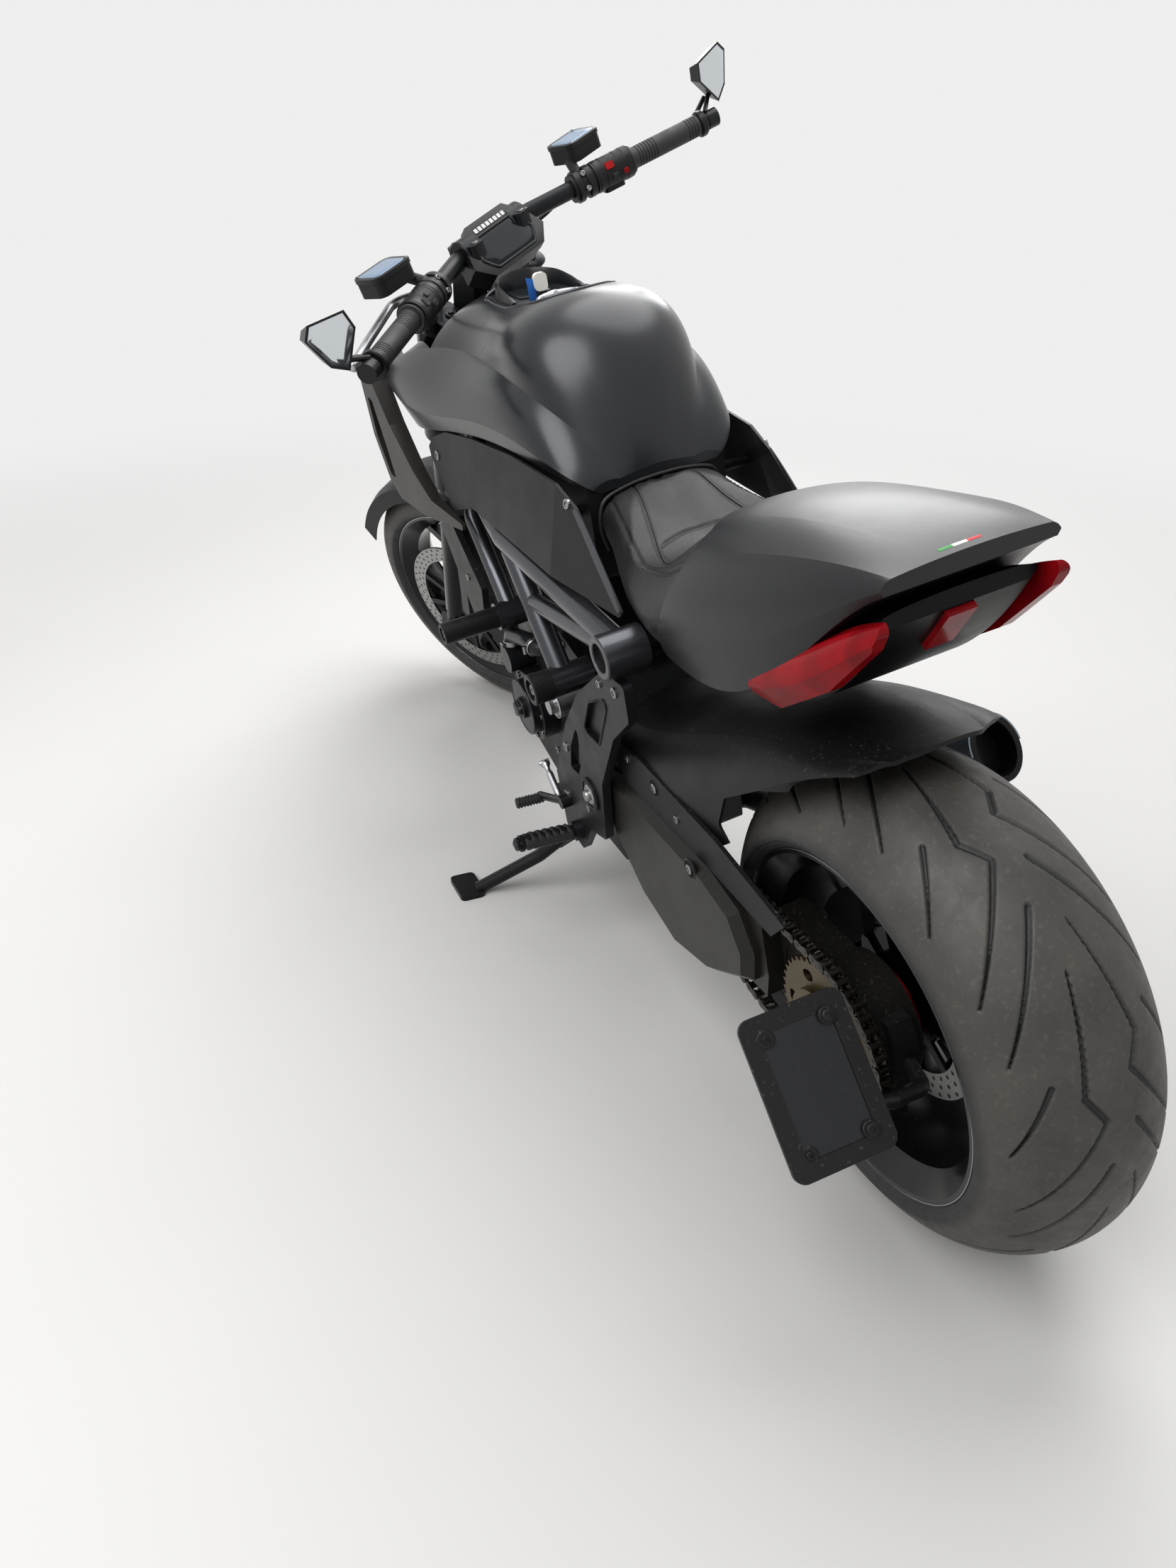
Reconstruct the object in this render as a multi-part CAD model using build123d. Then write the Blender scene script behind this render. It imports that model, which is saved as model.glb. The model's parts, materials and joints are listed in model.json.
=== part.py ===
from build123d import *
from math import atan2, copysign, cos, degrees, pi, radians, sin, sqrt, tan
import os

# Power cruiser motorcycle, in millimetres.
# Every piece is modelled on the upright machine: X forward, Y left, Z up, and the origin on the
# ground below the rear axle. The last section turns the steering to its left stop and leans the
# machine on its side stand, with the origin below the middle of the parked machine.

# Wheelbase and steering: the chassis hangs from the steering head, and the rear axle lies behind it
STEERING_GROUND_X = 1720
TRAIL = 130
WHEELBASE = 1590
RAKE = 28
STEER_LOCK = 26.9
LEAN = 10.15

# Tyres and rims
REAR_RADIUS = 324
REAR_WIDTH = 240
REAR_CROWN = 130
FRONT_RADIUS = 299
FRONT_WIDTH = 120
FRONT_CROWN = 60
TYRE_WALL = 14
BEAD_SEAT = 8
RIM_RADIUS = 228
RIM_WALL = 7
RIM_DROP = 26
RIM_FLANGE = 12
REAR_RIM_HALF = 111
FRONT_RIM_HALF = 48
SPOKES = 5
SPOKE_SPREAD = 13
SPOKE_SPLIT = 0.45
REAR_HUB_R = 62
REAR_HUB_OUT = -44
REAR_SPOKE = (-26, -77, 24, 24)
FRONT_HUB_R = 34
FRONT_SPOKE = (0, 0, 18, 22)

# Clearances
RUNNING = 0.3
SEATED = 0.3
SWEEP = 5

# Brakes
DISC_THICK = 5
DISC_BAND = 34
DISC_ARMS = 10
DISC_ARM_WIDTH = 14
FRONT_DISC_RADIUS = 162
FRONT_DISC_Y = 68
FRONT_DISC_HUB_R = 50
REAR_DISC_RADIUS = 132
REAR_DISC_Y = 30
REAR_DISC_HUB_R = 60
DISC_GAP = 2
CALIPER_OVER = 24
CALIPER_UNDER = 46
# Front caliper along the fork: place from the fork's line and the disc, and size
CALIPER_AT = (-108, 16, 92)
CALIPER_SIZE = (84, 62, 140)
# Rear caliper: inner and outer radius and half widths, the side outlines of the body and of its arm
REAR_CALIPER = (92, 152, 12, 50)
REAR_CALIPER_OUTLINE = [(40, 16), (160, 56), (160, 136), (70, 156)]
REAR_CALIPER_ARM = [(60, 26), (120, 26), (120, 60), (60, 60)]

# Fork, clamps and steering head
FORK_OFFSET = 25.6
FORK_HALF = 105
FORK_UPPER_R = 29
FORK_LOWER_R = 25
FORK_TOP = 815
FORK_OVERLAP = 420
FORK_SWEEP_HALF = 155
CLAMP_LOW = 570
CLAMP_HIGH = 775
CLAMP_THICK = 34
CLAMP_EYE = 12
CLAMP_WEB = 58
HEAD_R = 38
HEAD_BOX_HALF = 48
STEM_R = 17
RISER_Y = 55
RISER_SIZE = (46, 34)
FRONT_AXLE_R = 12.5
# Fork feet and the caliper lugs: place along the fork and size
FORK_FOOT_Z = -10
FORK_FOOT = (56, 46, 80)
FORK_FOOT_CORNER = 16
FORK_LUG_AT = (-46, 70)
FORK_LUG = (60, 22, 70)
# Front mudguard: its half width, the outer face as height over the inner edge and width in from it,
# the skin, its ends in side view and the stays to the legs
MUDGUARD_GAP = 14
MUDGUARD_HALF = 72
MUDGUARD_OUTER = [(-34, 0), (0, 0), (8, 24), (12, 72)]
MUDGUARD_INNER = [(-34, 3), (-2, 3), (5, 26), (9, 72)]
MUDGUARD_ENDS = [(0, 0), (230, 150), (380, 420), (-200, 420), (-420, 330), (-420, 150)]
MUDGUARD_STAY_AT = (-20, 4, 276)
MUDGUARD_STAY = (50, 20, 44)

# Handlebar: radii, heights and half widths
BAR_R = 14
BAR_Z = 1090
BAR_BEND_Y = 80
BAR_BEND_R = 60
BAR_END = (991, 414)
GRIP_R = 17
GRIP_INNER = 271
GRIP_OUTER = 398
SWITCH_INNER = 206
SWITCH_R = 25
PERCH_INNER = 168
PERCH_R = 22
GRIP_FLANGE = (5, 22)
# The lever from its perch: half width on the bar and the offset from it
LEVER = [(190, (20, 6, 2)), (190, (66, 30, 0)), (330, (72, 0, -6)), (398, (62, 0, -8))]
LEVER_R = 6.5
LEVER_BEND = 20
HOSE_R = 3.5
HOSE_BEND = 36
# The block under the lower clamp where the brake lines part, and the lines' bends
LINE_BLOCK = (36, 84, 18)
LINE_Y = (62, 34)
LINE_BENDS = (9, 20)
LINE_ROOT = (180, (40, -30, -22), 800, 690)
LINE_LOW = ((0, 40, 9), (0, 84, 20), 110, 210, (-66, 165))

# Final drive
CHAIN_PITCH = 15.875
CHAIN_Y = 138
CHAIN_WIDTH = 18
CHAIN_HALF_HEIGHT = 7.5
REAR_TEETH = 43
DRIVE_TEETH = 15
DRIVE_SPROCKET = (665, 378)
SPROCKET_THICK = 7
TOOTH_DEPTH = 5
TOOTH_GAP = 1.5

# Swingarm, on the left side only
PIVOT = (575, 372)
PIVOT_R = 28
HUB_R = 80
HUB_IN = 62
HUB_OUT = 122
SPINDLE_R = 24
SPINDLE_END = 162
SPINDLE_FAR = -52
SPINDLE_BORE_R = 14
SPINDLE_BORE_DEPTH = 60
HUB_WEB = [(0, 60), (170, 60), (186, 0), (170, -56), (0, -56)]
HUB_RING = (44, 60, 12)
SPROCKET_HOLE = [(68, -11), (84, -11), (84, 11), (68, 11)]
SPROCKET_HOLES = 6
ARM_IN = 125
ARM_STEP = 150
ARM_OUT = 172
ARM_CORNER = 8
ARM_DOME = (14, 42)
# Outlines of the inner beam and the outer blade: share of the way from axle to pivot, height over it
ARM_BEAM = [(1.017, 27), (0.226, 77), (0.212, -10), (0.226, -51), (0.365, -65), (1.017, -29)]
BLADE_TOP = [(0.43, 79), (0.87, 58)]
BLADE_REST = [(1.026, 27), (1.026, -23), (0.94, -79), (0.82, -131), (0.64, -152), (0.45, -114),
              (0.256, -35), (0.243, 16), (0.30, 66)]

# Rear guard: its point, its lower edge and the arch over the tyre, in the same measure
GUARD_SPEAR = [(0.97, 104), (0.75, 136), (0.39, 144), (0.10, 131), (0.16, 88), (0.30, 79)]
GUARD_SPEAR_Y = (152, 158)
GUARD_SKIN = 4
# Cross-sections by x from the axle, with heights over the tyre: bottom, widest, crease, shoulder, top
GUARD_REAR = [(-30, (60, 34), (84, 40), (52, 49), (26, 53), 54),
              (100, (126, -42), (132, -20), (92, 14), (50, 24), 27),
              (225, (146, -178), (150, -103), (104, -26), (56, -8), -2)]
# The same by x and height from the pivot
GUARD_FRONT = [(-195, (152, 64), (156, 108), (116, 180), (60, 202), 208),
               (-19, (152, 64), (156, 90), (124, 136), (64, 148), 152)]
GUARD_ARCH = [(-130, -8), (40, -8), (128, -40), (200, -88), (225, -143), (205, -168), (57, -176), (-130, -176)]
GUARD_RIGHT = 128
# The guard's outline in plan, from the axle: a rounded tip
GUARD_PLAN = [(640, 200), (60, 200), (44, 132), (-6, 96), (-30, 26), (-30, -46), (0, -100), (60, -134),
              (60, -200), (640, -200)]
GUARD_TIP = 24
GUARD_ARCH_INNER = 60
GUARD_ARCH_CORNER = 12

# Engine: crankshaft, cylinder banks (tilt, length, half width, width) and the case's side outline
CRANK = (880, 390)
CRANKCASE_HALF = 120
FRONT_BANK = (42, 205, 112, 150)
REAR_BANK = (132, 220, 96, 150)
BANK_COVER = 44
BANK_COVER_STEP = (8, 12)
STAND_BRACKET = ((750, 798), (120, 174), (214, 262))
STAND_PIN = (-20, 40)
CASE_OUTLINE = [(640, 250), (940, 225), (1020, 300), (1010, 430), (940, 500), (800, 540), (660, 500),
                (622, 440), (622, 300)]
CASE_CORNER = 20
# Round covers on the case: x, z, radius, inner and outer half width (negative on the right)
ENGINE_COVERS = [(945, 345, 66, 120, 152), (945, 345, 52, 152, 166), (945, 345, 20, 166, 172),
                 (840, 420, 30, 120, 140), (800, 390, 88, -120, -158), (800, 390, 66, -158, -170)]
PUMP = (985, 428, 26, 168)
PUMP_HOSE = [(985, 150, 440), (985, 150, 474), (900, 146, 494), (850, 146, 494),
             (850, CRANKCASE_HALF, 494)]
PUMP_HOSE_R = 14
PUMP_HOSE_BEND = 20
SLAVE = (772, 430, 24, 160)
SLAVE_CAP = (14.4, 12)
SLAVE_LINE = [(772, 152, 450), (772, 152, 520), (800, 136, 600), (806, 136, 692)]
BELLY_PAN = [(1116, 222), (1100, 180), (960, 128), (700, 122), (650, 160), (650, 222)]
BELLY_HALF = 105
BELLY_CORNER = 12

# Side plates that hold the pivot, and what is on them
PLATE_IN = 176
PLATE_THICK = 14
PLATE_OUTLINE = [(372, 655), (440, 650), (560, 560), (640, 470), (735, 330), (735, 218), (668, 206),
                 (610, 280), (545, 300), (520, 420), (440, 540), (372, 600)]
PLATE_WINDOW = [(590, 490), (634, 432), (654, 380), (620, 384), (596, 420)]
PLATE_POCKET = [(430, 612), (515, 566), (556, 500), (500, 500)]
PLATE_FEET = [(690, 260), (640, 470)]
PLATE_FOOT_R = 16
PLATE_CORNERS = (8, 5)
PLATE_PIVOT_CAP = 3
PEG = (670, 246)
PEG_R = 11
PEG_RIB_R = 14
PEG_RIBS = 7
PEG_RIB = 5
PEG_END = (664, 305, 268)
PEG_BOSS = (17, 12)
PEG_ROOT = 8
PEDAL_PIVOT = (700, 290)
PEDAL = [(700, 198, 290), (760, 200, 262), (812, 206, 242)]
PEDAL_R = 7
PEDAL_BEND = 20
PEDAL_BOSS = (12, 16)
PEDAL_TIP = [(806, 202, 240), (810, 252, 244)]
PEDAL_TIP_R = 8
GEAR_ROD = [(818, 184, 300), (744, 190, 262)]
GEAR_ROD_R = 4

# Frame tubes by their points, radius and bend; bosses by x, z, radius and half widths
TUBE_R = 18
TUBE_BEND = 40
TUBE_THIN = (14, 16)
TUBE_FRONT_END = 1080
TUBE_TOP = [(1200, 60, 842), (1010, 150, 745), (845, 168, 707), (405, 168, 690)]
TUBE_DOWN = [(812, 168, 698), (684, 164, 520)]
TUBE_MIDDLE = [(762, 166, 628), (425, 165, 672)]
TUBE_FRONT = [(1200, 60, 800), (1075, 148, 668), (950, 150, 535)]
TUBE_BOSSES = [(405, 688, 30, 142, 196), (684, 520, 24, 120, 188), (950, 530, 24, 112, 178)]
SLIDER = (950, 530, 19, 178, 270)
PUCK = (684, 520, 25, 188, 214)
SLIDER_CAP = (11.4, 3)
AIRBOX_HALF = 108
AIRBOX = [(1040, 790), (1040, 852), (960, 868), (840, 876), (720, 878), (655, 866), (604, 832),
          (604, 700), (1000, 680)]
HEAD_BOX = [(1262, 850), (1200, 960), (1089, 960), (1089, 829), (1041, 829), (1041, 720), (1180, 720),
            (1290, 790)]

# Body panels by cross-sections, front to back: x, then half widths and heights of the bottom corner,
# the widest point, the crease and the shoulder, and the height of the top
TANK = [(1285, (176, 862), (204, 886), (196, 912), (181, 922), 926),
        (1150, (186, 822), (206, 872), (176, 946), (140, 964), 985),
        (1030, (185, 842), (198, 872), (136, 962), (88, 1010), 1036),
        (900, (173, 861), (182, 888), (126, 962), (82, 1022), 1044),
        (720, (156, 867), (160, 888), (129, 948), (78, 1030), 1048),
        (655, (141, 856), (146, 872), (104, 915), (56, 980), 998),
        (598, (92, 826), (101, 832), (58, 838), (30, 842), 844)]
TANK_FRONT = 1088
HAUNCH_BULGE = 0.12
CONSOLE = [(1060, 0), (1030, 62), (900, 70), (800, 56), (770, 0)]
CONSOLE_FLOOR = 1024
FILLER = (850, 44, 1034)
SEAT = [(597, (84, 735), (100, 790), (80, 818), (40, 827), 829),
        (500, (104, 712), (122, 772), (100, 795), (50, 786), 780),
        (420, (128, 700), (146, 756), (118, 784), (60, 778), 774),
        (331, (136, 702), (150, 738), (124, 810), (80, 832), 838),
        (240, (136, 710), (148, 770), (118, 862), (70, 868), 872)]
COWL = [(336, (140, 700), (152, 735), (128, 812), (84, 846), 857),
        (220, (140, 706), (152, 772), (122, 868), (70, 897), 905),
        (100, (132, 764), (142, 816), (112, 904), (60, 924), 930),
        (-20, (110, 878), (118, 892), (98, 926), (50, 934), 936),
        (-65, (98, 912), (102, 918), (90, 928), (45, 931), 932)]
# Where the cowl's front edge runs: side view, then the tongue in plan
COWL_EDGE = [(322, 600), (336, 716), (273, 836), (253, 980), (253, 1100), (700, 1100), (700, 600)]
COWL_CORNER = 26
COWL_TONGUE = [(200, -112), (253, -112), (326, -24), (326, 24), (253, 112), (200, 112)]
TONGUE_Z = (800, 1000)
UNDERTAIL = [(331, (88, 666), (96, 676), (94, 686), (60, 694), 697),
             (150, (84, 700), (94, 722), (92, 738), (60, 748), 750),
             (-10, (84, 812), (92, 836), (90, 858), (60, 870), 872),
             (-50, (82, 868), (90, 876), (88, 882), (60, 886), 888)]
# Tail lamps: a body round both, cut to their outline in side view and to their inner edge
LENSES = [(170, (112, 690), (138, 738), (128, 772), (60, 790), 796),
          (60, (108, 730), (133, 776), (122, 812), (60, 828), 834),
          (-20, (98, 790), (124, 832), (112, 862), (60, 874), 880),
          (-82, (88, 848), (108, 880), (100, 892), (60, 898), 902)]
LENS_OUTLINE = [(146, 742), (95, 728), (8, 786), (-62, 858), (-76, 886), (-40, 893), (40, 838), (108, 770)]
LENS_INNER = 97
LENS_CORNER = 10
REFLECTOR = (-33, 838, -35.6, 8, 34, 62)
LAMP = [(1470, (50, 812), (74, 832), (62, 850), (30, 861), 864),
        (1425, (78, 806), (106, 845), (90, 880), (45, 901), 906),
        (1372, (84, 812), (112, 862), (98, 905), (50, 928), 932)]
LAMP_ARM = (26, 20)
LAMP_REACH = 100

# Side skins: x, then half widths at the lower and upper height; and their side outlines
SKIN_HEIGHTS = (680, 980)
PANEL = [(1090, 202, 176), (900, 192, 158), (600, 192, 121), (395, 163, 90)]
PANEL_THICK = 4
PANEL_OUTLINE = [(1084, 806), (1078, 790), (1000, 716), (915, 742), (640, 732), (412, 724), (545, 836),
                 (600, 857), (745, 864), (887, 858), (1000, 846), (1060, 826)]
PANEL_POSTS = [(650, 790), (980, 790)]
PANEL_POST_R = 8
PANEL_CORNER = 5
SCOOP_INNER = [(1310, 200, 200), (1100, 200, 200), (930, 199, 199)]
SCOOP_OUTER = [(1310, 240, 236), (1100, 222, 218), (930, 204, 203)]
SCOOP_OUTLINE = [(1280, 934), (1302, 890), (1297, 790), (1262, 712), (1222, 686), (1110, 683), (941, 700),
                 (941, 711), (1062, 722), (1124, 760), (1196, 826), (1243, 892), (1258, 930)]
SCOOP_CORNERS = (6, 5)
SCOOP_SLOT = [(1284, 862), (1280, 790), (1250, 726), (1226, 722), (1238, 772), (1264, 856)]

# Cooling: core centre, tilt and size
RADIATOR = (1172, 548)
RADIATOR_TILT = 17
RADIATOR_CORE = (34, 300, 240)
RADIATOR_TANK = (40, 16, 248)
RADIATOR_STAY = ((1040, 60, 560), (1160, 60, 560), 8)
RADIATOR_COVER = [(1236, 682), (1150, 682), (1010, 560), (1030, 500), (1090, 470)]
RADIATOR_COVER_Y = (166, 178)
RADIATOR_COVER_CORNER = 8

# Exhaust: header points, and the can's cross-sections (x, y, z, half width, half height)
HEADER = [(1020, 55, 450), (1088, 55, 386), (1088, 55, 222)]
HEADER_R = 21
HEADER_BEND = 45
CAN = [(505, -186, 290, 34, 42), (420, -196, 345, 52, 74), (260, -206, 440, 50, 70), (140, -216, 520, 36, 46)]
CAN_WALL = 8
CAN_MOUTH_DEPTH = 40
CAN_SLOPE = (0.8, 0, -0.6)
CAN_LINK_R = 22
CAN_LINK_BEND = 30
CAN_LINK = [(700, -BELLY_HALF - SEATED, 165), (700, -135, 165), (600, -168, 170), (505, -186, 290)]
SHIELD_GAP = 0.3
SHIELD_THICK = 2
SHIELD_OUTLINE = [(100, 545), (262, 442), (262, 640), (100, 640)]

# Number plate on the left of the rear wheel, from the rear axle
PLATE_CENTRE = (-131, 237, 94)
PLATE_ACROSS = (0.1, 0.99, -0.05)
PLATE_NORMAL = (-0.75, 0.05, 0.66)
NUMBER_PLATE = (123, 178)
PLATE_BORDER = 20
PLATE_FRAME = (6, 14)
PLATE_SHEET = 1.2
HOLDER_ARM_END = (-44, 40, -1)
HOLDER_ARM_BEND = 16
HOLDER_CLAMP_R = 92
HOLDER_ARM = [(-92, 92, 6), (-130, 100, 6), (-142, 150, 26)]
HOLDER_ARM_R = 9
HOLDER_CLAMP = ((-110, -40), (76, 108), (-64, 56))
HOLDER_LAMP = ((-78, -50), (84, 112), (-96, -62))

# Side stand
STAND_PIVOT = (765, 152, 188)
STAND_FOOT = (850, 357, 67.5)
STAND_R = 12
STAND_PIN_R = 7
STAND_EYE = (18, 9)
STAND_FOLDED = (-0.985, 0.16, -0.06)
STAND_PAD = (74, 46, 9)
STAND_PAD_AT = (12, 8)
STAND_ELBOW = (0.4, 60)

# Bar ends: six-sided mirror head (y, z), its plane and depth
MIRROR_HEAD = [(452, 1106), (414, 1150), (420, 1178), (484, 1188), (498, 1172), (478, 1124)]
MIRROR_X = 985
MIRROR_DEPTH = 24
MIRROR_TAPER = 18
MIRROR_ROOT = 404
MIRROR_STEM_R = 4
BAR_WEIGHT = 18
MIRROR_STEMS = [((10, 6, 14), (1008, 444, 1118)), ((-8, 8, 14), (1006, 456, 1122))]
DIAL = [(-84, 0), (-70, 36), (-44, 62), (44, 62), (70, 36), (84, 0), (58, -26), (-58, -26)]
DIAL_AT = (1114, 1066)
DIAL_DEPTH = 30
DIAL_TILT = (-0.8, 0, 0.6)
RESERVOIR = ((1098, 1160), (196, 272), (1121, 1150))
RESERVOIR_CORNER = 14
RESERVOIR_NECK = ((1124, 206, 1126), (1092, 186, 1102), 9)

FRONT_AXLE = Vector(STEERING_GROUND_X - TRAIL, 0, FRONT_RADIUS)
REAR_AXLE = Vector(FRONT_AXLE.X - WHEELBASE, 0, REAR_RADIUS)
STEER_POINT = Vector(STEERING_GROUND_X, 0, 0)
STEER_AXIS = Vector(-sin(radians(RAKE)), 0, cos(radians(RAKE)))
# Along the fork: z up the steering axis, x forward across it
FORK_FRAME = Plane(origin=FRONT_AXLE - Vector(cos(radians(RAKE)), 0, sin(radians(RAKE))) * FORK_OFFSET,
                   x_dir=(cos(radians(RAKE)), 0, sin(radians(RAKE))), z_dir=STEER_AXIS)
AT_REAR = Pos(*REAR_AXLE)
AT_FRONT = Pos(*FRONT_AXLE)
PLATE_PLANE = Plane(origin=REAR_AXLE + Vector(*PLATE_CENTRE), x_dir=PLATE_ACROSS, z_dir=PLATE_NORMAL)
BAR_X = STEERING_GROUND_X - BAR_Z * tan(radians(RAKE))
REAR_SPROCKET_R = CHAIN_PITCH / 2 / sin(pi / REAR_TEETH)
DRIVE_SPROCKET_R = CHAIN_PITCH / 2 / sin(pi / DRIVE_TEETH)
WIDE = 2 * REAR_RADIUS


# Shapes used all over the machine

def block(x, y, z):
    """A box between two corners, given as ranges."""
    size = [b - a for a, b in (x, y, z)]
    middle = [(a + b) / 2 for a, b in (x, y, z)]
    return Pos(*middle) * Box(*size)


def rod(start, end, radius):
    """A round bar from one point to another."""
    start = Vector(*start)
    run = Vector(*end) - start
    return Plane(origin=start, z_dir=run) * extrude(Circle(radius), run.length)


def across(x, z, radius, y0, y1):
    """A round bar along the wheel axle's direction."""
    return rod((x, y0, z), (x, y1, z), radius)


def pipe(points, radius, bend):
    """A bent tube, with one bend radius."""
    path = FilletPolyline(*points, radius=bend) if len(points) > 2 else Line(*points)
    return sweep(Plane(origin=path @ 0, z_dir=path % 0) * Circle(radius), path=path)


def slab(outline, y0, y1, corner=0):
    """A plate seen from the side: an x and z outline with rounded corners, between two widths."""
    plane = Plane(origin=(0, y1, 0), x_dir=(1, 0, 0), z_dir=(0, -1, 0))
    edge = FilletPolyline(*outline, radius=corner, close=True) if corner else Polyline(*outline, close=True)
    return extrude(plane * make_face(edge), y1 - y0)


def turned(outline, y=0):
    """A ring about the wheel axle's direction: a radius and width outline, turned a full turn."""
    return Pos(0, y, 0) * revolve(make_face(Polyline(*outline, close=True)), Axis.Y)


def band(inner, outer, half):
    """The outline of a flat ring."""
    return [(outer, -half), (outer, half), (inner, half), (inner, -half)]


def pair(shape):
    """A left piece and its mirror image on the right."""
    return [shape, mirror(shape, about=Plane.XZ)]


def section(x, bottom, widest, crease, shoulder, top):
    """A cross-section: flat below, straight to the widest point, rounded to the crease, crowned above."""
    points = [bottom, widest, crease, shoulder]
    haunch = ((widest[0] + crease[0]) / 2 + (crease[1] - widest[1]) * HAUNCH_BULGE,
              (widest[1] + crease[1]) / 2 + (widest[0] - crease[0]) * HAUNCH_BULGE)
    # The crown is a circle about the mid-plane; the arc down to the crease starts along it
    centre = (top ** 2 - shoulder[0] ** 2 - shoulder[1] ** 2) / 2 / (top - shoulder[1])
    rise = shoulder[1] - centre
    slope = (abs(rise), -shoulder[0] * copysign(1, rise))
    edges = Line((-bottom[0], bottom[1]), bottom) + Line(bottom, widest)
    edges += ThreePointArc(widest, haunch, crease) + TangentArc(shoulder, crease, tangent=slope)
    left = [(-y, z) for y, z in points]
    edges += ThreePointArc(shoulder, (0, top), left[3])
    edges += TangentArc(left[3], left[2], tangent=(-slope[0], slope[1]))
    edges += ThreePointArc(left[2], (-haunch[0], haunch[1]), left[1]) + Line(left[1], left[0])
    return Plane(origin=(x, 0, 0), x_dir=(0, 1, 0), z_dir=(1, 0, 0)) * make_face(edges)


def body(rows):
    """A body panel through its cross-sections, given from front to back."""
    return loft([section(*row) for row in rows])


def skin(inner, outer):
    """A side skin on the left between two tables of x and the half widths below and above."""
    low, high = SKIN_HEIGHTS
    faces = []
    for (x, in_low, in_high), (_, out_low, out_high) in zip(inner, outer):
        corners = Polyline((in_low, low), (out_low, low), (out_high, high), (in_high, high), close=True)
        faces.append(Plane(origin=(x, 0, 0), x_dir=(0, 1, 0), z_dir=(1, 0, 0)) * make_face(corners))
    return loft(faces, ruled=True)


def arm_points(rows):
    """Points in side view from shares of the way from the rear axle to the pivot and heights over it."""
    run = Vector(PIVOT[0], 0, PIVOT[1]) - REAR_AXLE
    return [(REAR_AXLE.X + share * run.X, REAR_AXLE.Z + share * run.Z + height) for share, height in rows]


# Wheels, drawn about their axles

def tyre(radius, width, crown, rim_half):
    half = width / 2
    shoulder = radius - crown + sqrt(max(crown ** 2 - half ** 2, 0))
    bead = RIM_RADIUS + SEATED
    inner_half = rim_half - BEAD_SEAT
    outer = ThreePointArc((shoulder, -half), (radius, 0), (shoulder, half))
    inner = ThreePointArc((shoulder, half - TYRE_WALL), (radius - TYRE_WALL, 0), (shoulder, TYRE_WALL - half))
    left = Polyline((shoulder, half), (bead, rim_half), (bead, inner_half), (shoulder, half - TYRE_WALL))
    right = Polyline((shoulder, TYRE_WALL - half), (bead, -inner_half), (bead, -rim_half), (shoulder, -half))
    return revolve(make_face(outer + left + inner + right), Axis.Y)


def rim_ring(half):
    """The rim: two flanges and a dropped well."""
    drop = RIM_RADIUS - RIM_DROP
    well = half - 2 * RIM_FLANGE
    inside = well - RIM_WALL / 2
    outline = [(RIM_RADIUS, -half), (RIM_RADIUS, RIM_FLANGE - half), (drop, -well), (drop, well),
               (RIM_RADIUS, half - RIM_FLANGE), (RIM_RADIUS, half), (RIM_RADIUS - RIM_WALL, half),
               (drop - RIM_WALL, inside), (drop - RIM_WALL, -inside), (RIM_RADIUS - RIM_WALL, -half)]
    return turned(outline)


def spokes(hub_r, hub_y, rim_y, width, thick):
    """Forked spokes: two bars from the hub that part on the way to the rim."""
    reach = RIM_RADIUS - RIM_DROP - RIM_WALL / 2
    split = hub_r + (reach - hub_r) * SPOKE_SPLIT
    split_y = hub_y + (rim_y - hub_y) * SPOKE_SPLIT
    one = []
    for side in (-1, 1):
        offset = side * width / 4
        spread = radians(side * SPOKE_SPREAD)
        points = [Vector(hub_r - width / 4, hub_y, offset), Vector(split, split_y, offset),
                  Vector(reach * cos(spread), rim_y, reach * sin(spread))]
        for start, end in zip(points, points[1:]):
            plane = Plane(origin=start, x_dir=(0, 1, 0), z_dir=end - start)
            one.append(plane * extrude(Rectangle(thick, width), (end - start).length))
    return [Rot(0, 360 / SPOKES * turn, 0) * bar for turn in range(SPOKES) for bar in one]


def front_rim():
    hub_half = FRONT_DISC_Y - DISC_THICK / 2 - DISC_GAP * 3
    solid = rim_ring(FRONT_RIM_HALF) + across(0, 0, FRONT_HUB_R, -hub_half, hub_half)
    solid += spokes(FRONT_HUB_R, *FRONT_SPOKE)
    return AT_FRONT * (solid - across(0, 0, FRONT_AXLE_R + RUNNING, -WIDE, WIDE))


def rear_rim():
    """The rear wheel with its hollow spindle, which runs in the swingarm's hub."""
    solid = rim_ring(REAR_RIM_HALF)
    solid += across(0, 0, REAR_HUB_R, REAR_HUB_OUT, REAR_DISC_Y - DISC_THICK / 2 - SEATED)
    solid += spokes(REAR_HUB_R, *REAR_SPOKE)
    solid += across(0, 0, SPINDLE_R, SPINDLE_FAR, SPINDLE_END)
    return AT_REAR * (solid - across(0, 0, SPINDLE_BORE_R, SPINDLE_END - SPINDLE_BORE_DEPTH, WIDE))


def brake_disc(y, radius, bore, hub_r):
    """A disc with its carrier: a braking ring, arms and a centre ring."""
    half = DISC_THICK / 2
    inner = radius - DISC_BAND
    ring = turned(band(inner, radius, half), y) + turned(band(bore, hub_r, half), y)
    arm = Pos((hub_r + inner) / 2, y, 0) * Box(inner - hub_r + DISC_THICK, DISC_THICK, DISC_ARM_WIDTH)
    return ring + [Rot(0, 360 / DISC_ARMS * turn, 0) * arm for turn in range(DISC_ARMS)]


def front_discs():
    bore = FRONT_AXLE_R + CLAMP_EYE
    inner_y = FRONT_DISC_Y - DISC_THICK / 2 - DISC_GAP * 3 + SEATED
    spacer = turned([(bore, inner_y), (bore, FRONT_DISC_Y), (FRONT_HUB_R, FRONT_DISC_Y), (FRONT_HUB_R, inner_y)])
    return pair(AT_FRONT * (brake_disc(FRONT_DISC_Y, FRONT_DISC_RADIUS, bore, FRONT_DISC_HUB_R) + spacer))


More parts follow.
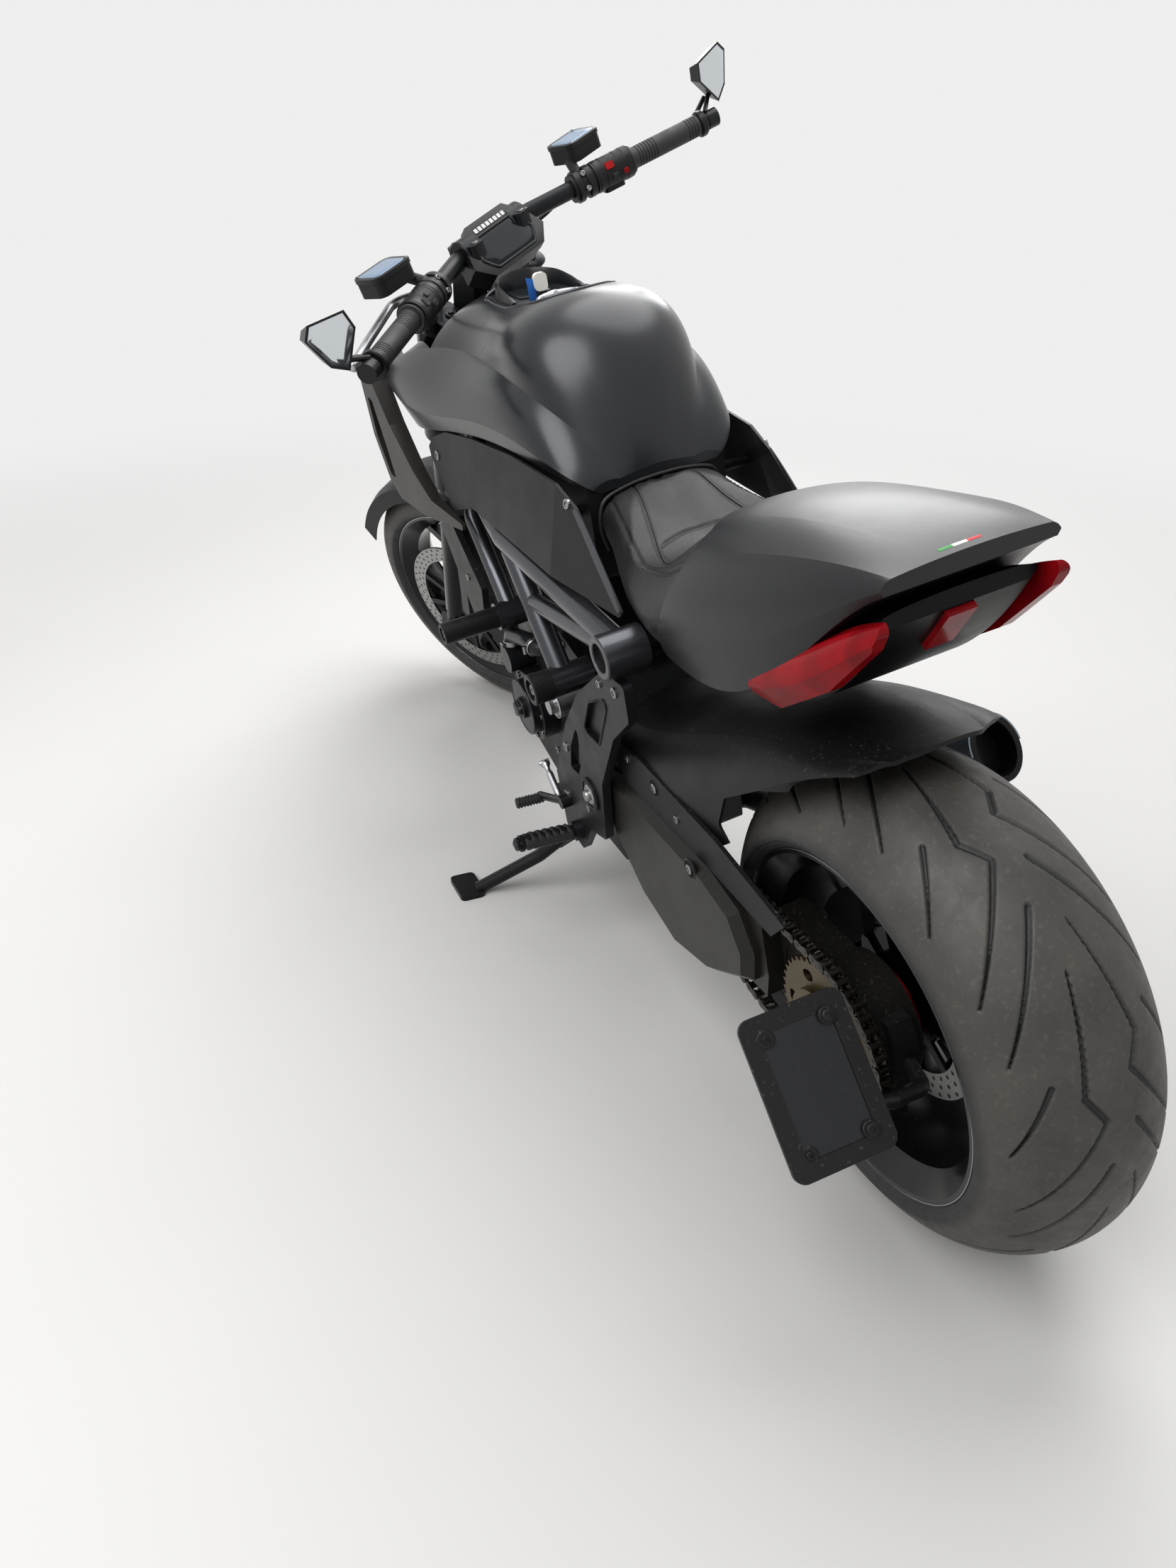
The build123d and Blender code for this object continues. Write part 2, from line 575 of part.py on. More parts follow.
def rear_disc():
    return AT_REAR * brake_disc(REAR_DISC_Y, REAR_DISC_RADIUS, SPINDLE_R + SEATED, REAR_DISC_HUB_R)


def rear_sprocket():
    """The toothed ring and its carrier, with oval holes."""
    tip = REAR_SPROCKET_R - CHAIN_HALF_HEIGHT - TOOTH_GAP
    root = tip - TOOTH_DEPTH
    outline = []
    for tooth in range(REAR_TEETH):
        for share, radius in ((-0.3, root), (-0.1, tip), (0.1, tip), (0.3, root)):
            angle = 2 * pi / REAR_TEETH * (tooth + share)
            outline.append((radius * cos(angle), radius * sin(angle)))
    ring = slab(outline, CHAIN_Y - SPROCKET_THICK / 2, CHAIN_Y + SPROCKET_THICK / 2)
    carrier = across(0, 0, REAR_HUB_R, HUB_OUT + DISC_GAP, CHAIN_Y + 2 * SPROCKET_THICK)
    hole = slab(SPROCKET_HOLE, HUB_OUT, SPINDLE_END, ARM_CORNER)
    holes = [Rot(0, 360 / SPROCKET_HOLES * turn, 0) * hole for turn in range(SPROCKET_HOLES)]
    return AT_REAR * (ring + carrier - holes - across(0, 0, SPINDLE_R + SEATED, 0, WIDE))


# Front end, drawn along the fork

def fork_uppers():
    leg = Pos(FORK_OFFSET, FORK_HALF, FORK_OVERLAP) * extrude(Circle(FORK_UPPER_R), FORK_TOP - FORK_OVERLAP)
    return pair(FORK_FRAME * leg)


def fork_lowers():
    """The sliding tubes, with the feet that hold the axle and the lugs of the calipers."""
    slider = Pos(FORK_OFFSET, FORK_HALF, 0) * extrude(Circle(FORK_LOWER_R), FORK_OVERLAP - SEATED)
    foot = Pos(FORK_OFFSET, FORK_HALF, FORK_FOOT_Z) * Box(*FORK_FOOT)
    foot = fillet(foot.edges().filter_by(Axis.Y), FORK_FOOT_CORNER)
    lug_x, lug_z = FORK_LUG_AT
    lug = Pos(FORK_OFFSET + lug_x, FORK_HALF, lug_z) * Box(*FORK_LUG)
    leg = FORK_FRAME * (slider + foot + lug)
    return pair(leg - AT_FRONT * across(0, 0, FRONT_AXLE_R + SEATED, 0, WIDE))


def front_axle():
    reach = FORK_HALF + FORK_LOWER_R + 1
    return AT_FRONT * across(0, 0, FRONT_AXLE_R, -reach, reach)


def triple_clamps():
    """Two clamps joined by the stem; each clamp holds both fork legs."""
    solid = Pos(0, 0, CLAMP_LOW) * extrude(Circle(STEM_R), CLAMP_HIGH - CLAMP_LOW)
    for level in (CLAMP_LOW, CLAMP_HIGH):
        solid += Pos(FORK_OFFSET / 2, 0, level) * Box(CLAMP_WEB, 2 * FORK_HALF, CLAMP_THICK)
        for side in (-1, 1):
            eye = extrude(Circle(FORK_UPPER_R + CLAMP_EYE), CLAMP_THICK)
            solid += Pos(FORK_OFFSET, side * FORK_HALF, level - CLAMP_THICK / 2) * eye
    for side in (-1, 1):
        leg = extrude(Circle(FORK_UPPER_R + SEATED), FORK_TOP)
        solid -= Pos(FORK_OFFSET, side * FORK_HALF, 0) * leg
    return FORK_FRAME * solid


def front_calipers():
    """Calipers behind the fork feet, open to the disc from below."""
    x, y, z = CALIPER_AT
    shape = FORK_FRAME * Pos(FORK_OFFSET + x, FRONT_DISC_Y + y, z) * Box(*CALIPER_SIZE)
    half = DISC_THICK / 2
    keep = turned(band(FRONT_DISC_RADIUS - CALIPER_UNDER, FRONT_DISC_RADIUS + CALIPER_OVER, WIDE))
    half += DISC_GAP
    slot = across(0, 0, FRONT_DISC_RADIUS + SWEEP, FRONT_DISC_Y - half, FRONT_DISC_Y + half)
    return pair((shape & (AT_FRONT * keep)) - AT_FRONT * slot - fork_lowers())


def front_mudguard():
    """A curved guard over the front tyre, with a stay to each fork leg."""
    inner = FRONT_RADIUS + MUDGUARD_GAP
    outer_row = [(inner + rise, MUDGUARD_HALF - step) for rise, step in MUDGUARD_OUTER]
    inner_row = [(inner + rise, MUDGUARD_HALF - step) for rise, step in MUDGUARD_INNER]
    right = [(r, -y) for r, y in outer_row[-2::-1]] + [(r, -y) for r, y in inner_row[:-1]]
    x, y, z = MUDGUARD_STAY_AT
    stay = FORK_FRAME * Pos(FORK_OFFSET + x, MUDGUARD_HALF + y, z) * Box(*MUDGUARD_STAY)
    shell = AT_FRONT * (turned(outer_row + right + inner_row[::-1]) & slab(MUDGUARD_ENDS, -WIDE, WIDE))
    return Part() + shell + pair(stay - fork_lowers())


def bar_core(radius):
    """The bar itself: straight in the middle and swept back on both sides."""
    end_x, end_y = BAR_END
    return pipe([(end_x, -end_y, BAR_Z), (BAR_X, -BAR_BEND_Y, BAR_Z), (BAR_X, BAR_BEND_Y, BAR_Z),
                 (end_x, end_y, BAR_Z)], radius, BAR_BEND_R)


def bar_point(y):
    """A point on the middle of the bar's left side, at a half width."""
    return Vector(BAR_X + (y - BAR_BEND_Y) * (BAR_END[0] - BAR_X) / (BAR_END[1] - BAR_BEND_Y), y, BAR_Z)


def on_bar(y0, y1, radius, bore=0):
    """A sleeve round the left side of the bar, between two half widths."""
    sleeve = rod(bar_point(y0), bar_point(y1), radius)
    return sleeve - rod(bar_point(y0), bar_point(y1), bore) if bore else sleeve


def risers(grow):
    """The two blocks that carry the bar on the upper clamp."""
    base = CLAMP_HIGH + CLAMP_THICK / 2
    top = FORK_FRAME.to_local_coords(Vector(BAR_X, 0, BAR_Z)).Z
    size = [side + 2 * grow for side in RISER_SIZE]
    return [FORK_FRAME * Pos(0, side * RISER_Y, (top + base) / 2) * Box(*size, top - base) for side in (-1, 1)]


def handlebar():
    return bar_core(BAR_R) + risers(0)


def grips():
    grip = on_bar(GRIP_INNER, GRIP_OUTER, GRIP_R, BAR_R + SEATED)
    width, radius = GRIP_FLANGE
    return pair(grip + on_bar(GRIP_INNER, GRIP_INNER + width, radius, BAR_R + SEATED))


def switchgear():
    """Housings, lever perches with their levers, and hydraulic reservoirs, on both sides."""
    housing = on_bar(SWITCH_INNER, GRIP_INNER - SEATED, SWITCH_R, BAR_R + SEATED)
    perch = on_bar(PERCH_INNER, SWITCH_INNER, PERCH_R, BAR_R + SEATED)
    lever = pipe([bar_point(y) + Vector(*offset) for y, offset in LEVER], LEVER_R, LEVER_BEND)
    cup = block(*RESERVOIR)
    cup = fillet(cup.edges().filter_by(Axis.Z), RESERVOIR_CORNER)
    neck = rod(*RESERVOIR_NECK) - on_bar(PERCH_INNER, SWITCH_INNER, BAR_R + SEATED)
    return pair(housing + perch + lever + cup + neck)


def mirrors():
    """Bar-end mirrors: an end clamp, two prongs and a six-sided head, with the bar's end weight."""
    clamp = on_bar(GRIP_OUTER + SEATED, BAR_END[1] - SWEEP, GRIP_R + 2, BAR_R + SEATED)
    weight = on_bar(BAR_END[1] + SEATED, BAR_END[1] + BAR_WEIGHT, BAR_R + 1)
    stems = [rod(bar_point(MIRROR_ROOT) + Vector(*root), tip, MIRROR_STEM_R) for root, tip in MIRROR_STEMS]
    plane = Plane(origin=(MIRROR_X, 0, 0), x_dir=(0, 1, 0), z_dir=(1, 0, 0))
    head = extrude(plane * make_face(Polyline(*MIRROR_HEAD, close=True)), MIRROR_DEPTH, taper=MIRROR_TAPER)
    return pair(clamp + stems + head - bar_core(BAR_R + SEATED)) + pair(weight)


def instrument():
    """The six-sided dial housing between the risers."""
    plane = Plane(origin=(DIAL_AT[0], 0, DIAL_AT[1]), x_dir=(0, -1, 0), z_dir=DIAL_TILT)
    housing = extrude(plane * make_face(Polyline(*DIAL, close=True)), -DIAL_DEPTH)
    return housing - bar_core(BAR_R + SEATED) - risers(SEATED)


def headlamp():
    front = (FORK_OFFSET + CLAMP_WEB) / 2
    arm = Pos((front + LAMP_REACH) / 2, 0, CLAMP_LOW) * Box(LAMP_REACH - front, *LAMP_ARM)
    return body(LAMP) + FORK_FRAME * arm


def fork_point(x, y, z):
    return FORK_FRAME.from_local_coords(Vector(x, y, z))


def hydraulic_lines():
    """Lines from both bar cylinders to a block under the lower clamp, and on to the calipers."""
    front = (FORK_OFFSET + CLAMP_WEB) / 2 + HOSE_R + SWEEP
    low = CLAMP_LOW - CLAMP_THICK / 2
    middle = low - LINE_BLOCK[2] / 2
    joint = Pos(FORK_OFFSET / 2, 0, middle - SEATED) * Box(*LINE_BLOCK)
    root_y, step, high, level = LINE_ROOT
    outer_y, inner_y = LINE_Y
    root = bar_point(root_y) + Vector(PERCH_R, 0, -SWEEP)
    upper = pipe([root, root + Vector(*step), fork_point(front + 2 * SWEEP, outer_y, high),
                  fork_point(front, inner_y, level), fork_point(front, inner_y, middle),
                  fork_point(FORK_OFFSET / 2, inner_y, middle)], HOSE_R, LINE_BENDS[0])
    behind = FORK_OFFSET - FORK_UPPER_R - HOSE_R - SWEEP
    *below, bend, foot, (end_x, end_z) = LINE_LOW
    points = [(x, y, low - drop) for x, y, drop in below]
    points += [(behind, FORK_HALF, low - bend), (behind, FORK_HALF, foot)]
    points += [(end_x, FRONT_DISC_Y + CALIPER_AT[1], end_z)]
    lower = pipe([fork_point(*point) for point in points], HOSE_R, LINE_BENDS[1])
    sides = pair(upper + lower)
    return Part() + sides[0] + sides[1] + FORK_FRAME * joint - front_calipers() - switchgear()


# Side stand

def stand_axis():
    deployed = (Vector(*STAND_FOOT) - Vector(*STAND_PIVOT)).normalized()
    return deployed.cross(Vector(*STAND_FOLDED)).normalized()


def side_stand():
    pivot, foot = Vector(*STAND_PIVOT), Vector(*STAND_FOOT)
    along, axis = (foot - pivot).normalized(), stand_axis()
    eye_r, eye_half = STAND_EYE
    eye = rod(pivot - axis * eye_half, pivot + axis * eye_half, eye_r)
    share, bend = STAND_ELBOW
    elbow = pivot + (foot - pivot) * share - Vector(0, 0, STAND_R)
    leg = pipe([pivot + along * eye_r / 2, elbow, foot - along * STAND_R], STAND_R, bend)
    ground = Plane(origin=foot, x_dir=(1, 0, 0), z_dir=(0, -sin(radians(LEAN)), cos(radians(LEAN))))
    width, length, thick = STAND_PAD
    pad = ground * (Pos(*STAND_PAD_AT, 0) * extrude(RectangleRounded(width, length, STAND_PAD[2]), thick))
    return leg + pad + eye - rod(pivot - axis * eye_r, pivot + axis * eye_r, STAND_PIN_R + RUNNING)


# Bodywork

def tank():
    """The tank cover, with shoulders that run forward past the fork."""
    steering_room = block((TANK_FRONT, STEERING_GROUND_X), (-FORK_SWEEP_HALF, FORK_SWEEP_HALF), (0, WIDE * 2))
    outline = CONSOLE + [(x, -y) for x, y in reversed(CONSOLE[1:-1])]
    console = Pos(0, 0, CONSOLE_FLOOR) * extrude(make_face(Polyline(*outline, close=True)), WIDE)
    x, radius, top = FILLER
    filler = Pos(x, 0, CONSOLE_FLOOR) * extrude(Circle(radius), top - CONSOLE_FLOOR)
    return body(TANK) - steering_room - console + filler - airbox() - head_casting()


def seat_room(gap):
    """What lies in front of the cowl's front edge."""
    low, high = TONGUE_Z
    tongue = Pos(0, 0, low) * extrude(make_face(Polyline(*COWL_TONGUE, close=True)), high - low)
    room = slab(COWL_EDGE, -WIDE, WIDE, COWL_CORNER) - tongue
    return Pos(2 * gap, 0, -gap) * room


def seat():
    return body(SEAT) & seat_room(SEATED)


def seat_cowl():
    return body(COWL) - seat_room(0)


def airbox():
    return slab(AIRBOX, -AIRBOX_HALF, AIRBOX_HALF)


def side_panels():
    """Flat covers below the tank, with posts to the airbox."""
    outer = [(x, low + PANEL_THICK, high + PANEL_THICK) for x, low, high in PANEL]
    shape = skin(PANEL, outer) & slab(PANEL_OUTLINE, 0, WIDE, PANEL_CORNER)
    posts = [across(x, z, PANEL_POST_R, AIRBOX_HALF + SEATED, PLATE_IN) for x, z in PANEL_POSTS]
    room = skin([(x, low + 1, high + 1) for x, low, high in PANEL], [(x, WIDE, WIDE) for x, _, _ in PANEL])
    return pair(shape + [post - room for post in posts])


def scoops():
    """Crescent horns in front of the shoulders, with an air slot each and a tail under the panel."""
    outer_corner, slot_corner = SCOOP_CORNERS
    shape = skin(SCOOP_INNER, SCOOP_OUTER) & slab(SCOOP_OUTLINE, 0, WIDE, outer_corner)
    return pair(shape - slab(SCOOP_SLOT, 0, WIDE, slot_corner) - tank())


def undertail():
    return body(UNDERTAIL) - seat_cowl()


def tail_lenses():
    lens = (body(LENSES) & slab(LENS_OUTLINE, LENS_INNER, WIDE, LENS_CORNER)) - seat_cowl()
    x, z, tilt, thick, width, height = REFLECTOR
    reflector = Pos(x, 0, z) * Rot(0, tilt, 0) * Box(thick, width, height)
    return pair(lens) + [reflector - undertail()]


def guard_rows(inset):
    """The rear guard's cross-sections, or those of its inner face."""
    rows = []
    for base_x, base_z, table in ((PIVOT[0], PIVOT[1], list(reversed(GUARD_FRONT))),
                                  (REAR_AXLE.X, 2 * REAR_RADIUS, list(reversed(GUARD_REAR)))):
        for x, *points, top in table:
            moved = [(y - inset, z + base_z - inset) for y, z in points]
            moved[0] = (moved[0][0], moved[0][1] - inset * 3)
            rows.append([x + base_x, *moved, top + base_z - inset])
    rows[0][0] += inset
    rows[-1][0] -= inset
    return rows


def hugger():
    """The guard over the rear tyre: a shell, with its arch and its point on the left."""
    shell = body(guard_rows(0)) - body(guard_rows(GUARD_SKIN))
    shell -= Pos(REAR_AXLE.X, 0, 2 * REAR_RADIUS) * slab(GUARD_ARCH, GUARD_ARCH_INNER, WIDE, GUARD_ARCH_CORNER)
    shell -= block((-WIDE, STEERING_GROUND_X), (-WIDE, -GUARD_RIGHT), (0, 2 * WIDE))
    plan = make_face(FilletPolyline(*GUARD_PLAN, radius=GUARD_TIP, close=True))
    shell = shell & (AT_REAR * extrude(plan, 2 * WIDE))
    seat_line = arm_points([(share, height + SEATED) for share, height in BLADE_TOP])
    point = slab(arm_points(GUARD_SPEAR[:-1]) + [seat_line[0], seat_line[1]], *GUARD_SPEAR_Y)
    return shell + point


# Frame and engine

def crankcase():
    pivot, axis = Vector(*STAND_PIVOT), stand_axis()
    pin = rod(pivot + axis * STAND_PIN[0], pivot + axis * STAND_PIN[1], STAND_PIN_R)
    return slab(CASE_OUTLINE, -CRANKCASE_HALF, CRANKCASE_HALF, CASE_CORNER) + block(*STAND_BRACKET) + pin


def bank(tilt, length, half, width):
    """A cylinder and its head, with a narrower cover."""
    cylinder = Pos(length / 2, 0, 0) * Box(length, 2 * half, width)
    side_step, end_step = BANK_COVER_STEP
    cover = Box(BANK_COVER, 2 * (half - side_step), width - 2 * end_step)
    cover = Pos(length + BANK_COVER / 2, 0, 0) * cover
    return Pos(CRANK[0], 0, CRANK[1]) * Rot(0, -tilt, 0) * (cylinder + cover)


def cylinders():
    case = crankcase()
    return [bank(*FRONT_BANK) - case, bank(*REAR_BANK) - case]


def engine_covers():
    """Round covers on both sides, and the water pump with its hose."""
    left = [across(*row) for row in ENGINE_COVERS if row[3] > 0]
    right = [across(*row) for row in ENGINE_COVERS if row[3] < 0]
    x, z, radius, outside = PUMP
    pump = across(x, z, radius, CRANKCASE_HALF, outside) + pipe(PUMP_HOSE, PUMP_HOSE_R, PUMP_HOSE_BEND)
    return [Part() + left + pump, Part() + right]


def clutch_slave():
    x, z, radius, outside = SLAVE
    cap_radius, height = SLAVE_CAP
    cup = across(x, z, radius, CRANKCASE_HALF, outside)
    return cup + across(x, z, cap_radius, outside, outside + height) + pipe(SLAVE_LINE, HOSE_R, HOSE_BEND)


def belly_pan():
    return slab(BELLY_PAN, -BELLY_HALF, BELLY_HALF, BELLY_CORNER)


def head_casting():
    """The head tube and the box behind it that carries the frame tubes and the tank's front."""
    low, high = CLAMP_LOW + CLAMP_THICK / 2 + SWEEP, CLAMP_HIGH - CLAMP_THICK / 2 - SWEEP
    tube = Pos(0, 0, low) * extrude(Circle(HEAD_R), high - low)
    front = Pos(HEAD_R, 0, (low + high) / 2) * Box(2 * HEAD_R, 6 * HEAD_R, 3 * (high - low))
    caps = [Pos(0, 0, level) * Box(WIDE, WIDE, 2 * HEAD_R) for level in (low - HEAD_R, high + HEAD_R)]
    bore = Pos(0, 0, low) * extrude(Circle(STEM_R + RUNNING), high - low)
    box = slab(HEAD_BOX, -HEAD_BOX_HALF, HEAD_BOX_HALF)
    box = box - FORK_FRAME * front - [FORK_FRAME * cap for cap in caps]
    return FORK_FRAME * tube + box - FORK_FRAME * bore


def trellis():
    """Left and right tubes from the head to the boss under the seat."""
    side = pipe(TUBE_TOP, TUBE_R, TUBE_BEND) + rod(*TUBE_DOWN, TUBE_R)
    middle, front = TUBE_THIN
    side += rod(*TUBE_MIDDLE, middle) + pipe(TUBE_FRONT, front, TUBE_BEND)
    side += [across(*row) for row in TUBE_BOSSES]
    return pair(side - block((TUBE_FRONT_END, STEERING_GROUND_X), (-WIDE, HEAD_BOX_HALF), (0, 2 * WIDE)))


def frame_sliders():
    x, z, radius, inner, outer = SLIDER
    cap_radius, height = SLIDER_CAP
    sleeve = across(x, z, radius, inner, outer) + across(x, z, cap_radius, outer, outer + height)
    return pair(sleeve) + pair(across(*PUCK))


def side_plates():
    """The plates that hold the swingarm's pivot, with a window, a recess and feet to the case."""
    outside = PLATE_IN + PLATE_THICK
    corner, inner_corner = PLATE_CORNERS
    plate = slab(PLATE_OUTLINE, PLATE_IN, outside, corner) - slab(PLATE_WINDOW, 0, WIDE, inner_corner)
    plate -= slab(PLATE_POCKET, PLATE_IN + PLATE_THICK / 2, WIDE, inner_corner)
    plate += across(*PIVOT, PIVOT_R, PLATE_IN, outside + PLATE_PIVOT_CAP)
    return pair(plate + [across(x, z, PLATE_FOOT_R, CRANKCASE_HALF, PLATE_IN) for x, z in PLATE_FEET])


def swingarm():
    """The arm: an inner beam inside the chain, an outer blade, a web, the hub and the pivot."""
    beam = slab(arm_points(ARM_BEAM), ARM_IN, ARM_STEP)
    height, taper = ARM_DOME
    outline = arm_points(BLADE_TOP + BLADE_REST)
    blade = slab(outline, ARM_STEP, ARM_OUT - height, ARM_CORNER)
    face = Plane(origin=(0, ARM_OUT - height, 0), x_dir=(-1, 0, 0), z_dir=(0, 1, 0))
    edge = FilletPolyline(*[(-x, z) for x, z in outline], radius=ARM_CORNER, close=True)
    blade += extrude(face * make_face(edge), height, taper=taper)
    web = AT_REAR * slab(HUB_WEB, HUB_IN, ARM_IN)
    web = web & (AT_REAR * across(0, 0, RIM_RADIUS - RIM_DROP - RIM_WALL - SWEEP, 0, ARM_IN))
    solid = beam + blade + web + AT_REAR * across(0, 0, HUB_R, HUB_IN, HUB_OUT)
    solid += across(*PIVOT, PIVOT_R, -PLATE_IN, PLATE_IN)
    sprocket_room = across(0, 0, REAR_SPROCKET_R + CHAIN_HALF_HEIGHT + SWEEP, HUB_OUT, WIDE)
    return solid - AT_REAR * sprocket_room - AT_REAR * across(0, 0, SPINDLE_R + SEATED, 0, WIDE)


def hub_ring():
    inner, outer, width = HUB_RING
    return AT_REAR * turned(band(inner, outer, width / 2), HUB_IN - width / 2)


def rear_caliper():
    """A caliper over the rear disc, on an arm from the swingarm's hub."""
    half = DISC_THICK / 2 + DISC_GAP
    inner, outer, near, far = REAR_CALIPER
    shape = turned(band(inner, outer, (far - near) / 2), (near + far) / 2)
    shape -= turned(band(0, REAR_DISC_RADIUS + SWEEP, half), REAR_DISC_Y)
    arm = slab(REAR_CALIPER_ARM, far, HUB_IN)
    return AT_REAR * ((shape & slab(REAR_CALIPER_OUTLINE, 0, HUB_IN)) + arm)


def chain():
    """A closed chain round both sprockets, as one loop."""
    run = Vector(DRIVE_SPROCKET[0] - REAR_AXLE.X, DRIVE_SPROCKET[1] - REAR_AXLE.Z)
    tilt = radians(degrees(atan2(run.Y, run.X)))
    split = degrees(atan2(REAR_SPROCKET_R - DRIVE_SPROCKET_R, run.length))
    loops = []
    for grow in (CHAIN_HALF_HEIGHT, -CHAIN_HALF_HEIGHT):
        rear, drive = REAR_SPROCKET_R + grow, DRIVE_SPROCKET_R + grow
        points = []
        for centre, radius, angle in ((0, rear, 90 - split), (run.length, drive, 90 - split),
                                      (run.length, drive, 0), (run.length, drive, split - 90),
                                      (0, rear, split - 90), (0, rear, 180)):
            points.append((centre + radius * cos(radians(angle)), radius * sin(radians(angle))))
        loops.append(make_face(Line(points[0], points[1]) + ThreePointArc(*points[1:4])
                               + Line(points[3], points[4]) + ThreePointArc(points[4], points[5], points[0])))
    plane = Plane(origin=REAR_AXLE + Vector(0, CHAIN_Y + CHAIN_WIDTH / 2, 0),
                  x_dir=(cos(tilt), 0, sin(tilt)), z_dir=(0, -1, 0))
    return extrude(plane * (loops[0] - loops[1]), CHAIN_WIDTH)


def drive_sprocket():
    radius, half = DRIVE_SPROCKET_R - CHAIN_HALF_HEIGHT - SEATED, SPROCKET_THICK / 2
    wheel = across(*DRIVE_SPROCKET, radius, CHAIN_Y - half, CHAIN_Y + half)
    return wheel + across(*DRIVE_SPROCKET, 16, CRANKCASE_HALF, CHAIN_Y + CHAIN_WIDTH)


def radiator():
    x, z = RADIATOR
    core = Pos(x, 0, z) * Rot(0, -RADIATOR_TILT, 0) * Box(*RADIATOR_CORE)
    side_y = (RADIATOR_CORE[1] + RADIATOR_TANK[1]) / 2 - SEATED
    tanks = pair(Pos(x, side_y, z) * Rot(0, -RADIATOR_TILT, 0) * Box(*RADIATOR_TANK))
    start, end, radius = RADIATOR_STAY
    stays = pair(rod(start, end, radius))
    return core + tanks + [stay - bank(*FRONT_BANK) for stay in stays]


def radiator_covers():
    return pair(slab(RADIATOR_COVER, *RADIATOR_COVER_Y, RADIATOR_COVER_CORNER))


def exhaust_headers():
    return [pipe(points, HEADER_R, HEADER_BEND) - bank(*FRONT_BANK) - crankcase()
            for points in (HEADER, [(x, -y, z) for x, y, z in HEADER])]


def can_loft(rows, grow):
    """An oval body that slopes up to the rear, grown by some skin."""
    return loft([Plane(origin=(x, y, z), x_dir=(0, 1, 0), z_dir=CAN_SLOPE) * Ellipse(half + grow, high + grow)
                 for x, y, z, half, high in rows])


def silencer():
    """An oval can on the right that narrows to the outlet."""
    x, y, z, half, high = CAN[-1]
    plane = Plane(origin=(x, y, z), x_dir=(0, 1, 0), z_dir=CAN_SLOPE)
    mouth = plane * Ellipse(half - CAN_WALL, high - CAN_WALL)
    return can_loft(CAN, 0) - extrude(mouth, CAN_MOUTH_DEPTH) + pipe(CAN_LINK, CAN_LINK_R, CAN_LINK_BEND)


def heat_shield():
    """A thin bright cover over the top of the can's rear half."""
    shell = can_loft(CAN, SHIELD_GAP + SHIELD_THICK) - can_loft(CAN, SHIELD_GAP)
    return shell & slab(SHIELD_OUTLINE, -WIDE, 0)


def foot_controls():
    """Pegs with ribbed rubbers, the pedals in front of them and the gear rod on the left."""
    outside = PLATE_IN + PLATE_THICK
    root = Vector(PEG[0], outside + PEG_ROOT, PEG[1])
    tip = Vector(*PEG_END)
    radius, width = PEG_BOSS
    side = across(*PEG, radius, outside, outside + width) + rod(root, tip, PEG_R)
    for rib in range(PEG_RIBS):
        start = root + (tip - root) * ((rib + 2) / (PEG_RIBS + 2))
        side += rod(start, start + (tip - root).normalized() * PEG_RIB, PEG_RIB_R)
    radius, width = PEDAL_BOSS
    side += pipe(PEDAL, PEDAL_R, PEDAL_BEND) + rod(*PEDAL_TIP, PEDAL_TIP_R)
    side += across(*PEDAL_PIVOT, radius, outside, outside + width)
    left, right = pair(side)
    return [left, right, rod(*GEAR_ROD, GEAR_ROD_R) - left - block((0, WIDE), (0, CRANKCASE_HALF), (0, WIDE))]


def number_plate():
    width, height = [size - 2 * PLATE_BORDER - 2 * SEATED for size in NUMBER_PLATE]
    return PLATE_PLANE * Pos(0, 0, SEATED) * extrude(Rectangle(width, height), PLATE_SHEET)


def plate_holder():
    """The framed plate carrier, its arm, the clamp on the hub and the plate light."""
    width, height = NUMBER_PLATE
    thick, corner = PLATE_FRAME
    frame = Pos(0, 0, -thick / 2) * extrude(RectangleRounded(width, height, corner), thick)
    frame -= extrude(Rectangle(width - 2 * PLATE_BORDER, height - 2 * PLATE_BORDER), thick)
    points = [REAR_AXLE + Vector(*point) for point in HOLDER_ARM]
    arm = pipe(points + [(PLATE_PLANE * Pos(*HOLDER_ARM_END)).position], HOLDER_ARM_R, HOLDER_ARM_BEND)
    clamp = across(0, 0, HOLDER_CLAMP_R, *HOLDER_CLAMP[1]) & block(*HOLDER_CLAMP)
    clamp += block(*HOLDER_LAMP)
    return PLATE_PLANE * frame + (arm - PLATE_PLANE * extrude(Rectangle(WIDE, WIDE), WIDE)) \
        + AT_REAR * (clamp - across(0, 0, HUB_R + SEATED, 0, WIDE))


# The parked pose

def lowest(pose, centre, axis, radius, crown):
    """The lowest point of a leaning tyre, from its centre and its axle's direction."""
    middle = (pose * Pos(*centre)).position
    tip = (pose * Pos(*(centre + axis))).position
    return middle.Z - (radius - crown) * sqrt(1 - (tip - middle).Z ** 2) - crown


def turn_about(point, axis, angle):
    """The move that turns pieces by an angle about an axis through a point."""
    plane = Plane(origin=point, z_dir=axis)
    return plane.location * Rot(0, 0, angle) * plane.location.inverse()


def parked_pose():
    """The whole machine's lean, with both tyres on the floor, and the steering's turn."""
    steer = turn_about(STEER_POINT, STEER_AXIS, STEER_LOCK)
    pitch = 0
    for _ in range(6):
        pose = Rot(0, pitch, 0) * Rot(-LEAN, 0, 0)
        rear = lowest(pose, REAR_AXLE, Vector(0, 1, 0), REAR_RADIUS, REAR_CROWN)
        front = lowest(pose * steer, FRONT_AXLE, Vector(0, 1, 0), FRONT_RADIUS, FRONT_CROWN)
        pitch += degrees(atan2(front - rear, WHEELBASE))
    return Pos(0, 0, -rear) * pose, steer


